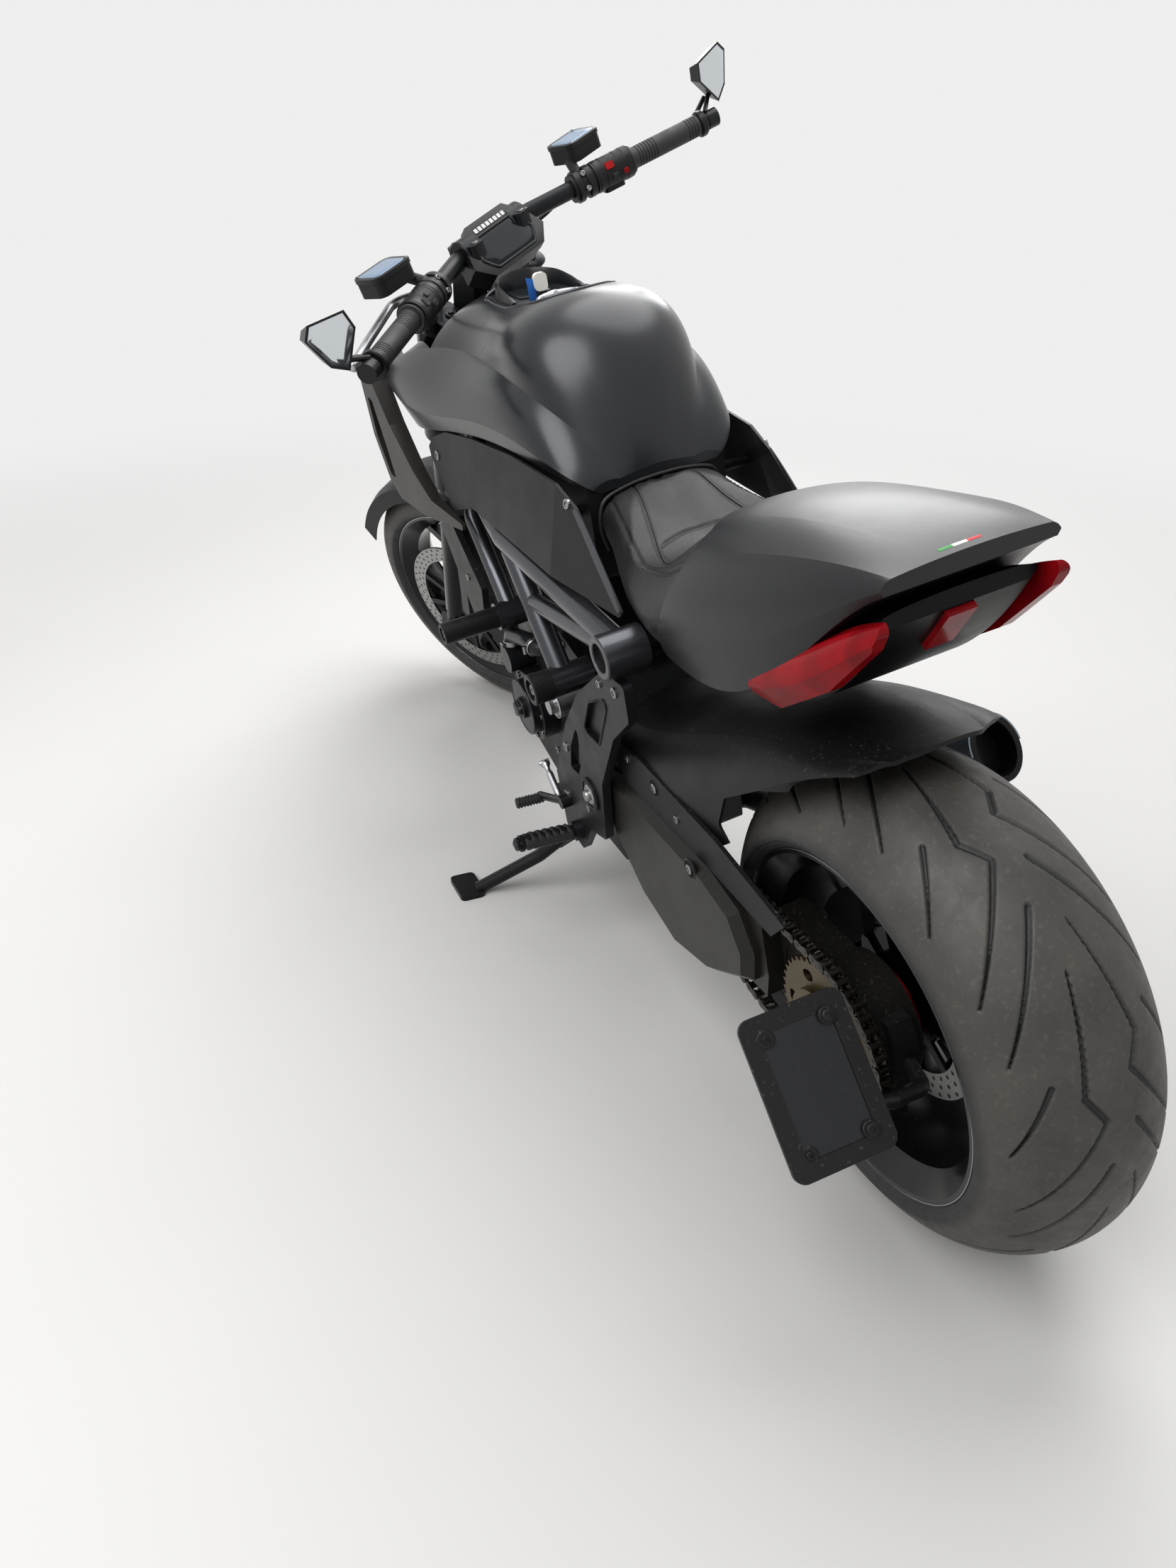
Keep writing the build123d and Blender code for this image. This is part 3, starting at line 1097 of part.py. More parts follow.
# Every piece by body: the chassis, the steered front end, the wheels and the side stand
CHASSIS = [head_casting, trellis, airbox, crankcase, cylinders, engine_covers, clutch_slave, side_plates,
           swingarm, hub_ring, rear_caliper, hugger, chain, drive_sprocket, tank, scoops, side_panels,
           radiator, radiator_covers, seat, seat_cowl, undertail, tail_lenses, exhaust_headers, silencer,
           heat_shield, belly_pan, foot_controls, frame_sliders, plate_holder, number_plate]
STEERED = [triple_clamps, fork_uppers, fork_lowers, front_axle, front_mudguard, front_calipers, handlebar,
           grips, switchgear, mirrors, instrument, headlamp, hydraulic_lines]
FRONT_WHEEL = [front_rim, front_discs]
REAR_WHEEL = [rear_rim, rear_disc, rear_sprocket]


def main():
    os.makedirs("parts", exist_ok=True)
    pose, steer = parked_pose()
    groups = ((CHASSIS + REAR_WHEEL + [side_stand], pose), (STEERED + FRONT_WHEEL, pose * steer))
    made = {piece.__name__: (piece(), move) for pieces, move in groups for piece in pieces}
    rear_tyre = AT_REAR * tyre(REAR_RADIUS, REAR_WIDTH, REAR_CROWN, REAR_RIM_HALF)
    front_tyre = AT_FRONT * tyre(FRONT_RADIUS, FRONT_WIDTH, FRONT_CROWN, FRONT_RIM_HALF)
    made.update(rear_tyre=(rear_tyre, pose), front_tyre=(front_tyre, pose * steer))
    shapes = {}
    for name, (shape, move) in made.items():
        shapes_of_it = shape if isinstance(shape, list) else [shape]
        shapes[name] = Compound([solid.moved(move) for one in shapes_of_it for solid in one.solids()])
    box = Compound(list(shapes.values())).bounding_box()
    home = Pos(-(box.min.X + box.max.X) / 2, -(box.min.Y + box.max.Y) / 2, 0)
    for name, shape in shapes.items():
        export_step(shape.moved(home), f"parts/{name}.step")
    for name, move, point, axis in (
            ("steering", pose, STEER_POINT, STEER_AXIS),
            ("front_wheel", pose * steer, FRONT_AXLE, Vector(0, 1, 0)),
            ("rear_wheel", pose, REAR_AXLE, Vector(0, 1, 0)),
            ("side_stand", pose, Vector(*STAND_PIVOT), stand_axis()),
            ("spindle_bore", pose, REAR_AXLE + Vector(0, SPINDLE_END, 0), Vector(0, 1, 0))):
        at = (home * move * Pos(*point)).position
        tip = (home * move * Pos(*(point + axis))).position
        print("place", name, [round(v, 3) for v in at], [round(v, 6) for v in tip - at])
    print("home", home.position)
    print("size", box.size)


main()
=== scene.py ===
import json
import math

import bmesh
import bpy
import numpy as np
from mathutils import Matrix
from mathutils.bvhtree import BVHTree


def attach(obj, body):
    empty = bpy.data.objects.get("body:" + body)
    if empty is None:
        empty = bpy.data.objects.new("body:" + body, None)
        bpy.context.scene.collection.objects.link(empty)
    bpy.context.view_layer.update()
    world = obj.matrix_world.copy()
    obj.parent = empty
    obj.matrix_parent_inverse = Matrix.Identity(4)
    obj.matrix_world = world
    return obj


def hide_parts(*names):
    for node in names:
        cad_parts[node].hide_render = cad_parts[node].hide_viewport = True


bl_info = {
    "name": "Power Cruiser Motorcycle",
    "version": (1, 0, 0),
    "blender": (4, 5, 0),
    "location": "View3D > Sidebar > Cruiser",
    "description": "Paint, rubber, leather, chain, lamps and small fittings for a parked power cruiser",
    "category": "Object",
}

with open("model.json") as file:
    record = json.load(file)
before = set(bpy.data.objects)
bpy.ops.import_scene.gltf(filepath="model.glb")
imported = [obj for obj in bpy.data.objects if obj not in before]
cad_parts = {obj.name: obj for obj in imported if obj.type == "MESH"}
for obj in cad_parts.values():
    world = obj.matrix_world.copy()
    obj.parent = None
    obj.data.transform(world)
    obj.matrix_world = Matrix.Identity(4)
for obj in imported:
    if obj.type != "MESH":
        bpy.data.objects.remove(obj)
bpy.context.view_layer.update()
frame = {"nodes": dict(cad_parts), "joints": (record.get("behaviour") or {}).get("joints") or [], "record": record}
NODES = frame["nodes"]
JOINTS = {joint["name"]: joint for joint in frame["joints"]}

# The machine's own measures, in millimetres on the upright machine: X forward, Y left, Z up from the
# floor, with X = 0 below the rear axle
RAKE = math.radians(28)
REAR_AXLE = (0, 0, 324)
FRONT_AXLE = (1590, 0, 299)
BAR_START = (1140.4, 80, 1090)
BAR_END = (991, 414, 1090)
DRIVE_SPROCKET = (665, 0, 378)
REAR_PITCH_R = 108.75
DRIVE_PITCH_R = 38.18
CHAIN_Y = 138.0
# Both wheels: the radius of the bead, the rims' half widths, and the discs' bands as two radii
BEAD_R = 228.6
REAR_RIM_HALF, FRONT_RIM_HALF = 111, 48
REAR_BAND, FRONT_BAND = (99, 132), (129, 162)
# Fork: the tubes' place before the steering axis and half width, the places of their caps and seals
FORK_OFFSET, FORK_HALF, FORK_TOP, FORK_SEAL = 25.6, 105, 815, 422
RISER_Y = 57
RADIATOR_PLACE, RADIATOR_TILT = (1172, 0, 548), math.radians(17)
FILLER_X = 850
# Round parts seen from the left: x and z
CRANK_COVER, WATER_PUMP, CLUTCH, ARM_PIVOT = (945, 345), (840, 420), (772, 430), (575, 372)

# Camera: its place from the rear wheel's centre in metres, its turns, and its lens for the long side
CAMERA_FROM_WHEEL = (-0.875706, 0.855290, 0.948650)
CAMERA_TURNS = (0.524, 0.423, 0.015)
CAMERA_LENS = 27.31
# The backdrop's white, and half the floor's width in metres
WHITE = 0.86
FLOOR_HALF = 30.0
MM = 0.001


# The upright machine's places, carried to the parked pose

def machine_frame(wheel, axle):
    """Turn and origin that carry upright places to the row frame. The wheel's axle direction and the
    steering axis are known in both, and they are square to each other, so they fix the turn."""
    left = np.array(JOINTS[wheel]["axis"], float)
    up_fork = np.array(JOINTS["steering"]["axis"], float)
    across = np.cross(left, up_fork)
    forward = across * math.cos(RAKE) - up_fork * math.sin(RAKE)
    upward = across * math.sin(RAKE) + up_fork * math.cos(RAKE)
    turn = np.stack([forward, left, upward], axis=1)
    origin = np.array(JOINTS[wheel]["pos_m"], float) - turn @ np.array(axle, float) * MM
    return turn, origin


CHASSIS_FRAME = machine_frame("rear_wheel_spin", REAR_AXLE)
STEERED_FRAME = machine_frame("front_wheel_spin", FRONT_AXLE)
FRAMES = {"chassis": CHASSIS_FRAME, "rear_wheel": CHASSIS_FRAME, "side_stand": CHASSIS_FRAME,
          "steering": STEERED_FRAME, "front_wheel": STEERED_FRAME}


def parked(points, body):
    """Upright millimetres to metres in the row frame: each point times the body's turn, plus its origin."""
    turn, origin = FRAMES[body]
    return np.asarray(points, float) * MM @ turn.T + origin


def unit(vectors):
    """Vectors scaled to length one."""
    vectors = np.asarray(vectors, float)
    return vectors / np.linalg.norm(vectors, axis=-1, keepdims=True)


# Grids and what is worked out on them

def grid_faces(rows, columns, around=False, along=False):
    """Quads of a grid: each joins a point, its neighbour in the row and the two in the next row.
    around joins the last column to the first, along the last row to the first."""
    row, column = np.meshgrid(np.arange(rows if along else rows - 1),
                              np.arange(columns if around else columns - 1), indexing="ij")
    low, high = row, (row + 1) % rows
    here, there = column, (column + 1) % columns
    quads = [low * columns + here, low * columns + there, high * columns + there, high * columns + here]
    return np.stack(quads, axis=-1).reshape(-1, 4)


def turned(profile, count):
    """A profile of radius and width turned about the axle: x and z are the radius times the cosine and
    sine of the angle, y is the width. Gives points by angle, then by profile."""
    profile = np.asarray(profile, float)
    angle = np.linspace(0, 2 * np.pi, count, endpoint=False)[:, None]
    radius, width = profile[None, :, 0], profile[None, :, 1]
    points = np.stack([radius * np.cos(angle), width + 0 * angle, radius * np.sin(angle)], axis=-1)
    return points, grid_faces(count, len(profile), along=True)


def closed_ring(profile, count):
    """A closed profile turned a full turn, so both directions of its grid close."""
    points, _ = turned(profile, count)
    return points, grid_faces(count, len(profile), around=True, along=True)


def carried(profile, path, upward, scale=1.0):
    """A closed profile carried along a path: at each place the tangent is the path's slope, the side is
    tangent cross upward, and each profile point is path + a * side + b * (side cross tangent). The scale
    may change along the path."""
    path, profile = np.asarray(path, float), np.asarray(profile, float)
    tangent = unit(np.gradient(path, axis=0))
    side = unit(np.cross(tangent, np.asarray(upward, float)))
    top = np.cross(side, tangent)
    grown = profile[None] * np.broadcast_to(scale, (len(path),))[:, None, None]
    points = path[:, None] + grown[..., 0, None] * side[:, None] + grown[..., 1, None] * top[:, None]
    return points, grid_faces(len(path), len(profile), around=True)


def capped(points, faces):
    """A carried tube with both ends closed to the middle of their rings."""
    rows, columns = points.shape[:2]
    middles = points[[0, -1]].mean(axis=1)
    flat = np.concatenate([points.reshape(-1, 3), np.repeat(middles, columns, axis=0)])
    ring = np.arange(columns)
    after = (ring + 1) % columns
    base = rows * columns
    first = np.stack([ring, after, base + after, base + ring], axis=-1)
    last = np.stack([ring + base - columns, after + base - columns, base + columns + after,
                     base + columns + ring], axis=-1)
    return flat, np.concatenate([faces, first, last])


def joined(parts):
    """Several grids as one: each part's faces count on from the points before it."""
    points = [np.asarray(part[0], float).reshape(-1, 3) for part in parts]
    starts = np.cumsum([0] + [len(one) for one in points[:-1]])
    faces = [np.asarray(part[1]) + start for part, start in zip(parts, starts)]
    return np.concatenate(points), np.concatenate(faces)


def repeated(part, turns, origins):
    """One small shape at many places: every point times each turn, plus that turn's origin."""
    points = np.asarray(part[0], float).reshape(-1, 3)
    origins = np.asarray(origins, float)
    placed = np.einsum("kij,nj->kni", turns, points) + origins[:, None]
    faces = np.asarray(part[1])[None] + (np.arange(len(origins)) * len(points))[:, None, None]
    return placed.reshape(-1, 3), faces.reshape(-1, 4)


def facing(normals, hint=(0.13, 0.31, 0.94)):
    """Turns whose third axis is each normal and whose first lies square to it and a hint."""
    normals = unit(normals)
    first = unit(np.cross(np.broadcast_to(hint, normals.shape), normals))
    return np.stack([first, np.cross(normals, first), normals], axis=-1)


def mirrored(part):
    """The part and its mirror image across the machine's mid-plane, as one."""
    points, faces = np.asarray(part[0], float).reshape(-1, 3), part[1]
    return joined([(points, faces), (points * (1, -1, 1), faces[:, ::-1])])


def piece(name, body, part, material, slot, sharp=35, values=None):
    """Puts a grid into a mesh, merges its seams and poles, turns its faces outwards and rides it."""
    points, faces = part
    points = parked(np.asarray(points, float).reshape(-1, 3), body)
    if faces.max() >= len(points) or not np.isfinite(points).all():
        raise RuntimeError("the grid of " + name + " doesn't hold together")
    mesh = bpy.data.meshes.new(name)
    mesh.vertices.add(len(points))
    mesh.vertices.foreach_set("co", points.astype(np.float32).ravel())
    mesh.loops.add(faces.size)
    mesh.loops.foreach_set("vertex_index", faces.astype(np.int32).ravel())
    mesh.polygons.add(len(faces))
    mesh.polygons.foreach_set("loop_start", np.arange(0, faces.size, 4, dtype=np.int32))
    mesh.update(calc_edges=True)
    for label, field in (values or {}).items():
        layer = mesh.attributes.new(label, "FLOAT", "POINT")
        layer.data.foreach_set("value", np.asarray(field, np.float32).ravel())
    work = bmesh.new()
    work.from_mesh(mesh)
    bmesh.ops.remove_doubles(work, verts=work.verts, dist=2e-6)
    bmesh.ops.dissolve_degenerate(work, edges=work.edges, dist=1e-7)
    bmesh.ops.recalc_face_normals(work, faces=work.faces)
    work.to_mesh(mesh)
    work.free()
    mesh.polygons.foreach_set("use_smooth", np.ones(len(mesh.polygons), bool))
    mesh.set_sharp_from_angle(angle=math.radians(sharp))
    thing = bpy.data.objects.new(name, mesh)
    bpy.context.scene.collection.objects.link(thing)
    mesh.materials.append(bpy.data.materials[material])
    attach(thing, body)
    return thing


def lathe(profile, place, axis, count=24):
    """A profile of radius and height turned about any axis through a place: each point is the place plus
    the radius times a direction square to the axis, plus the height along it."""
    profile = np.asarray(profile, float)
    turn = facing([axis])[0]
    angle = np.linspace(0, 2 * np.pi, count, endpoint=False)[:, None]
    local = np.stack([profile[None, :, 0] * np.cos(angle), profile[None, :, 0] * np.sin(angle),
                      profile[None, :, 1] + 0 * angle], axis=-1)
    return local @ turn.T + np.asarray(place, float), grid_faces(count, len(profile), along=True)


def washer(profile, place, axis, count=24):
    """A closed profile turned about any axis through a place."""
    points, _ = lathe(profile, place, axis, count)
    return points, grid_faces(count, len(profile), around=True, along=True)


def bead(radius, height, thick, place, axis, count=48):
    """A round bead of a given thickness: a small circle turned about the axis at a radius and height."""
    angle = np.linspace(0, 2 * np.pi, 8, endpoint=False)
    circle = np.stack([radius + thick * np.cos(angle), height + thick * np.sin(angle)], axis=-1)
    return washer(circle, place, axis, count)


def smooth(points, steps):
    """A curve through the given points: between two of them it is the cubic whose slopes at each are half
    the step from the point before to the one after."""
    points = np.asarray(points, float)
    slope = np.gradient(points, axis=0)
    share = np.linspace(0, 1, steps, endpoint=False)[None, :, None]
    a, b, da, db = points[:-1, None], points[1:, None], slope[:-1, None], slope[1:, None]
    curve = (a * (1 + 2 * share) * (1 - share) ** 2 + da * share * (1 - share) ** 2
             + b * share ** 2 * (3 - 2 * share) + db * share ** 2 * (share - 1))
    return np.concatenate([curve.reshape(-1, 3), points[-1:]])


def tube(path, radius, upward, count=12):
    """A round tube along a path, closed at its ends; the radius may change along it."""
    angle = np.linspace(0, 2 * np.pi, count, endpoint=False)
    circle = np.stack([np.cos(angle), np.sin(angle)], axis=-1)
    return capped(*carried(circle, path, upward, radius))


def settled(node, body, points, direction, start=400.0):
    """Where points sent along a direction first meet a piece, and the surface's normals there, in upright
    millimetres. They start the given distance back along the direction."""
    tree = surface_of(node)
    turn, origin = FRAMES[body]
    direction = unit(np.asarray(direction, float))
    begin = parked(np.asarray(points, float) - direction * start, body)
    aim = (turn @ direction).tolist()
    hits = [tree.ray_cast(one, aim) for one in begin.tolist()]
    missed = [point for point, hit in zip(np.asarray(points).tolist(), hits) if hit[0] is None]
    if missed:
        raise RuntimeError("nothing of " + str(getattr(node, "name", node)) + " lies under " + str(missed))
    places = (np.array([hit[0] for hit in hits]) - origin) @ turn / MM
    normals = np.array([hit[1] for hit in hits]) @ turn
    return places, normals * np.where(normals @ direction > 0, -1.0, 1.0)[:, None]


def surface_of(node):
    """A piece's mesh, with its modifiers, ready for finding places on it."""
    work = bmesh.new()
    if isinstance(node, str):
        work.from_mesh(NODES[node].data)
    else:
        work.from_object(node, bpy.context.evaluated_depsgraph_get())
    tree = BVHTree.FromBMesh(work)
    work.free()
    return tree


# Materials

def linear(code):
    """A colour written as an sRGB hex value, turned to linear light."""
    value = np.array([int(code[start:start + 2], 16) for start in (1, 3, 5)]) / 255
    value = np.where(value <= 0.04045, value / 12.92, ((value + 0.055) / 1.055) ** 2.4)
    return (*value.tolist(), 1.0)


def add(tree, kind, inputs=None, out=0, **settings):
    """Adds a shader node with its settings: each input gets a value, or a link where it is a socket.
    Gives the output asked for."""
    node = tree.nodes.new("ShaderNode" + kind)
    for key, value in settings.items():
        setattr(node, key, value)
    for key, value in (inputs or {}).items():
        if isinstance(value, bpy.types.NodeSocket):
            tree.links.new(value, node.inputs[key])
        else:
            node.inputs[key].default_value = value
    return node.outputs[out] if len(node.outputs) else node


def opened(name):
    """An empty material's node tree."""
    material = bpy.data.materials.new(name)
    material.use_nodes = True
    material.node_tree.nodes.clear()
    return material.node_tree


def surfaced(tree, tone, roughness, height, depth, inputs=None, strength=0.6):
    """Closes a material: relief of a depth in millimetres, the shader over it and the output."""
    relief = add(tree, "Bump", {"Strength": strength, "Distance": depth * MM, "Height": height})
    base = {"Base Color": tone, "Roughness": roughness, "Normal": relief}
    add(tree, "OutputMaterial", {0: add(tree, "BsdfPrincipled", {**base, **(inputs or {})})})


# Each surface: name, record slot, main colour, second tone, metallic, roughness, its spread, the
# grain's size and height in millimetres, coat weight, and how much dust lies on it
SURFACES = (
    # frame castings under powder paint: a faint orange peel
    ("Cast aluminium, black powder coat", "cast_frame",
     "#141517", "#111214", 0.2, 0.40, 0.05, 1.4, 0.05, 0.0, 0.2),
    # drawn tube in gunmetal lacquer: the brightest of the dark metals
    ("Steel tube, gunmetal lacquer", "frame_tube",
     "#4f5054", "#47484c", 0.85, 0.27, 0.04, 1.2, 0.02, 0.1, 0.1),
    # injection-moulded PA6 with spark-eroded texture: flat, grey in grazing light
    ("Polyamide, moulded black", "moulded_black",
     "#151515", "#111112", 0.0, 0.46, 0.04, 0.9, 0.04, 0.0, 0.25),
    # die-cast engine cases: sandy skin under thin paint
    ("Die-cast aluminium, black", "engine_case",
     "#1b1c1e", "#222325", 0.35, 0.44, 0.08, 1.1, 0.12, 0.0, 0.3),
    # machined covers: smoother than the cases beside them
    ("Magnesium cover, black", "engine_cover",
     "#1e1f22", "#191a1c", 0.4, 0.34, 0.05, 0.8, 0.04, 0.1, 0.2),
    # blasted alloy: soft silver with no direction
    ("Aluminium, bead blasted", "bare_alloy",
     "#b5b6b8", "#a6a7a9", 1.0, 0.34, 0.06, 0.5, 0.03, 0.0, 0.05),
    # swingarm casting in satin black, a little warm
    ("Cast aluminium, satin black", "swingarm_paint",
     "#1a1917", "#161514", 0.15, 0.38, 0.03, 1.6, 0.03, 0.1, 0.2),
    # bright metal seen through dye
    ("Aluminium, anodised red", "red_anodised",
     "#b3161d", "#9a1219", 1.0, 0.26, 0.05, 0.5, 0.01, 0.0, 0.0),
    # hard-anodised calipers
    ("Aluminium, anodised dark grey", "brake_alloy",
     "#2e2f31", "#28292b", 0.85, 0.34, 0.06, 0.7, 0.02, 0.0, 0.1),
    # screws, nuts and spindles, turned bare
    ("Steel, turned", "bare_steel",
     "#9b9b9a", "#868685", 1.0, 0.28, 0.06, 0.6, 0.01, 0.0, 0.0),
    # tank paint: satin clear coat over black, with a cool sheen
    ("Satin lacquer over black", "satin_paint",
     "#191b1e", "#17191c", 0.35, 0.36, 0.012, 3.0, 0.004, 0.6, 0.05),
    # the horns beside the tank: warmer, duller paint on plastic
    ("Satin lacquer, warm grey", "scoop_paint",
     "#221f1d", "#1e1b1a", 0.15, 0.40, 0.02, 2.2, 0.006, 0.1, 0.1),
    # seat cowl: the same lacquer a shade flatter
    ("Matt lacquer over black", "cowl_paint",
     "#17181a", "#151618", 0.2, 0.42, 0.015, 2.6, 0.005, 0.3, 0.05),
    # exhaust in heat-proof paint
    ("Stainless steel, heat-proof", "exhaust_steel",
     "#18181a", "#1e1d1d", 0.5, 0.42, 0.08, 1.0, 0.05, 0.0, 0.2),
    # shield, pale blue where the heat has drawn it
    ("Steel shield, heat tinted", "shield_blue",
     "#76828f", "#838b93", 0.8, 0.34, 0.06, 1.2, 0.02, 0.0, 0.1),
    # crash bobbins, turned
    ("Nylon, turned black", "slider_black",
     "#121212", "#171717", 0.0, 0.36, 0.06, 0.8, 0.03, 0.0, 0.15),
    # hose with a smooth outer skin
    ("Rubber hose, black", "hose_black",
     "#121212", "#171717", 0.0, 0.45, 0.08, 1.0, 0.08, 0.0, 0.1),
    # outer fork tubes
    ("Fork tube, anodised black", "fork_black",
     "#1c1c1e", "#212123", 0.75, 0.28, 0.04, 0.6, 0.01, 0.1, 0.0),
    # sliding fork tubes
    ("Steel fork tube, hard coated", "fork_inner",
     "#141415", "#19191a", 0.8, 0.22, 0.03, 0.6, 0.004, 0.2, 0.0),
    # handlebar
    ("Aluminium bar, satin black", "bar_black",
     "#1b1c1d", "#202123", 0.5, 0.34, 0.05, 0.9, 0.02, 0.0, 0.05),
    # mirror bodies
    ("Aluminium mirror body, black", "mirror_black",
     "#151617", "#1a1b1c", 0.3, 0.30, 0.04, 0.8, 0.01, 0.1, 0.0),
    # dial and switch housings: finely textured moulding
    ("ABS housing, satin black", "display_glass",
     "#121315", "#161719", 0.0, 0.36, 0.04, 0.8, 0.03, 0.05, 0.05),
    # wheels: gloss black on castings
    ("Cast wheel, gloss black", "wheel_black",
     "#101011", "#141415", 0.3, 0.22, 0.04, 1.5, 0.02, 0.3, 0.1),
    # rear sprocket
    ("Aluminium, bronze anodised", "sprocket_bronze",
     "#645841", "#534935", 1.0, 0.38, 0.06, 0.6, 0.02, 0.0, 0.1),
    # side stand
    ("Steel stand, black enamel", "stand_black",
     "#121213", "#1a1a1b", 0.3, 0.34, 0.06, 1.0, 0.03, 0.0, 0.2),
    # plated, darker in slow random patches of grease
    ("Chain steel, plated", "chain_steel",
     "#5c5852", "#2c2a26", 1.0, 0.36, 0.12, 3.0, 0.02, 0.0, 0.0),
    # blank plate in dark film
    ("Plate blank, dark film", "plate_blank",
     "#202124", "#1d1e20", 0.1, 0.40, 0.04, 1.2, 0.02, 0.1, 0.05),
    # painted shade: a near-black floor set inside tube ends and bolt wells
    ("Unpainted bore, in shadow", "bore",
     "#040404", "#060606", 0.0, 0.85, 0.05, 1.0, 0.02, 0.0, 0.0),
)
DUST = "#8b867d"
# Materials with a recipe of their own
EXTRA = {"grip": "Rubber grip, ribbed", "tyre": "Tyre rubber, dusty", "leather": "Leather, grained",
         "thread": "Polyester thread, grey", "lens": "Acrylic lens, red",
         "reflector": "Acrylic reflector, red", "screen": "Glass screen, dark",
         "window": "Acrylic window, white", "mirror": "Mirror glass",
         "headlight": "Polycarbonate lens, clear", "reflex": "Lamp reflector, plated",
         "tape": "Vinyl tag, blue", "tag": "Paper tag, white", "switch": "Switch cap, red",
         "button": "Switch cap, grey", "disc": "Brake disc steel, ground",
         "rear_disc": "Brake disc steel, rear", "lip": "Rim lip, machined bright",
         "trim": "Polyamide trim, grey", "fins": "Aluminium fins, black",
         "green": "Enamel stripe, green", "white": "Enamel stripe, white", "red": "Enamel stripe, red",
         "cap": "Cap film, pale blue", "spring": "Spring steel, dark", "carrier": "ABS carrier, black",
         "floor": "Studio floor, pale"}

# The finishes that many fittings share: material and record slot
STEEL = ("Steel, turned", "bare_steel")
NYLON = ("Nylon, turned black", "slider_black")
ALLOY = ("Aluminium, bead blasted", "bare_alloy")
MOULDING = ("Polyamide, moulded black", "moulded_black")
HOUSING = ("ABS housing, satin black", "display_glass")

# Mouldings and small finishes: key in EXTRA, colour, deeper tone, roughness, and where they have them
# metallic, the height and pitch of ribs in millimetres, and the place in metres behind which they begin
CLEARS = (
    # hardened rear lamp acrylic: deep red, ribbed towards its tip
    ("lens", "#a30c17", "#4c040a", 0.1, 0.0, 0.4, 6.0, -0.80),
    # prismatic reflector: fine ribs all over
    ("reflector", "#b81c26", "#7d0b12", 0.12, 0.0, 0.4, 2.5),
    # mineral glass over an unlit display
    ("screen", "#14171a", "#1a1e22", 0.08),
    # unlit warning windows
    ("window", "#d4d6d3", "#bfc1bf", 0.2),
    # silvered mirror glass
    ("mirror", "#d3d7da", "#cbd0d3", 0.03, 1.0),
    # plated bowl behind the headlamp's lens
    ("reflex", "#c3c6c9", "#9b9ea1", 0.12, 1.0, 0.6, 9.0),
    # masking tape round the key
    ("tape", "#2f62ae", "#27559b", 0.55),
    # paper tag
    ("tag", "#e6e5df", "#d6d4cc", 0.6),
    # red switch cap
    ("switch", "#a3181c", "#7d1014", 0.4),
    # grey print on the buttons
    ("button", "#3a3b3d", "#303133", 0.5),
    # rim lip turned bright
    ("lip", "#b9babb", "#a0a1a3", 0.22, 1.0),
    # grey moulded strip beside the seat
    ("trim", "#4a4b4e", "#434447", 0.42),
    # sewing thread, waxed
    ("thread", "#3c3c3c", "#2e2e2e", 0.7),
    # enamel of the three-colour stripe
    ("green", "#3f8f4a", "#37803f", 0.35),
    ("white", "#e4e3dc", "#d8d7d0", 0.35),
    ("red", "#c23a3c", "#b23032", 0.35),
    # blank film on the fluid cup's lid
    ("cap", "#8ea3bb", "#7f94ad", 0.2, 0.7),
    # moulding that carries the rear lamps
    ("carrier", "#0b0b0c", "#080809", 0.3),
    # stand spring
    ("spring", "#3d3d3e", "#2c2c2d", 0.35, 0.9),
)


def make_surface(name, base, second, metallic, rough, wander, grain, height, coat, dust):
    """A finish: two close tones in slow patches, roughness that wanders, the skin's fine relief, and
    specks of dust, a millimetre or two wide, where the surface looks up."""
    tree = opened(name)
    place = add(tree, "TexCoord", out="Object")
    patches = add(tree, "TexNoise", {"Vector": place, "Scale": 1000 / 160, "Detail": 2.0})
    patches = add(tree, "MapRange", {0: patches, 1: 0.3, 2: 0.7})
    tone = add(tree, "Mix", {0: patches, 6: linear(base), 7: linear(second)}, 2, data_type="RGBA")
    upward = add(tree, "SeparateXYZ", {0: add(tree, "NewGeometry", out="Normal")}, 2)
    lying = add(tree, "MapRange", {0: upward, 1: 0.3, 2: 1.0, 3: 0.0, 4: dust})
    specks = add(tree, "TexNoise", {"Vector": place, "Scale": 1000 / 4.5, "Detail": 3.0})
    specks = add(tree, "MapRange", {0: specks, 1: 0.62, 2: 0.72})
    lying = add(tree, "Math", {0: lying, 1: specks}, operation="MULTIPLY")
    tone = add(tree, "Mix", {0: lying, 6: tone, 7: linear(DUST)}, 2, data_type="RGBA")
    slow = add(tree, "TexNoise", {"Vector": place, "Scale": 1000 / 45, "Detail": 4.0})
    roughness = add(tree, "MapRange", {0: slow, 1: 0.3, 2: 0.7, 3: rough - wander, 4: rough + wander})
    skin = add(tree, "TexNoise", {"Vector": place, "Scale": 1000 / grain, "Detail": 2.0})
    surfaced(tree, tone, roughness, skin, height,
             {"Metallic": metallic, "Coat Weight": coat, "Coat Roughness": 0.25, "Specular IOR Level": 0.22})


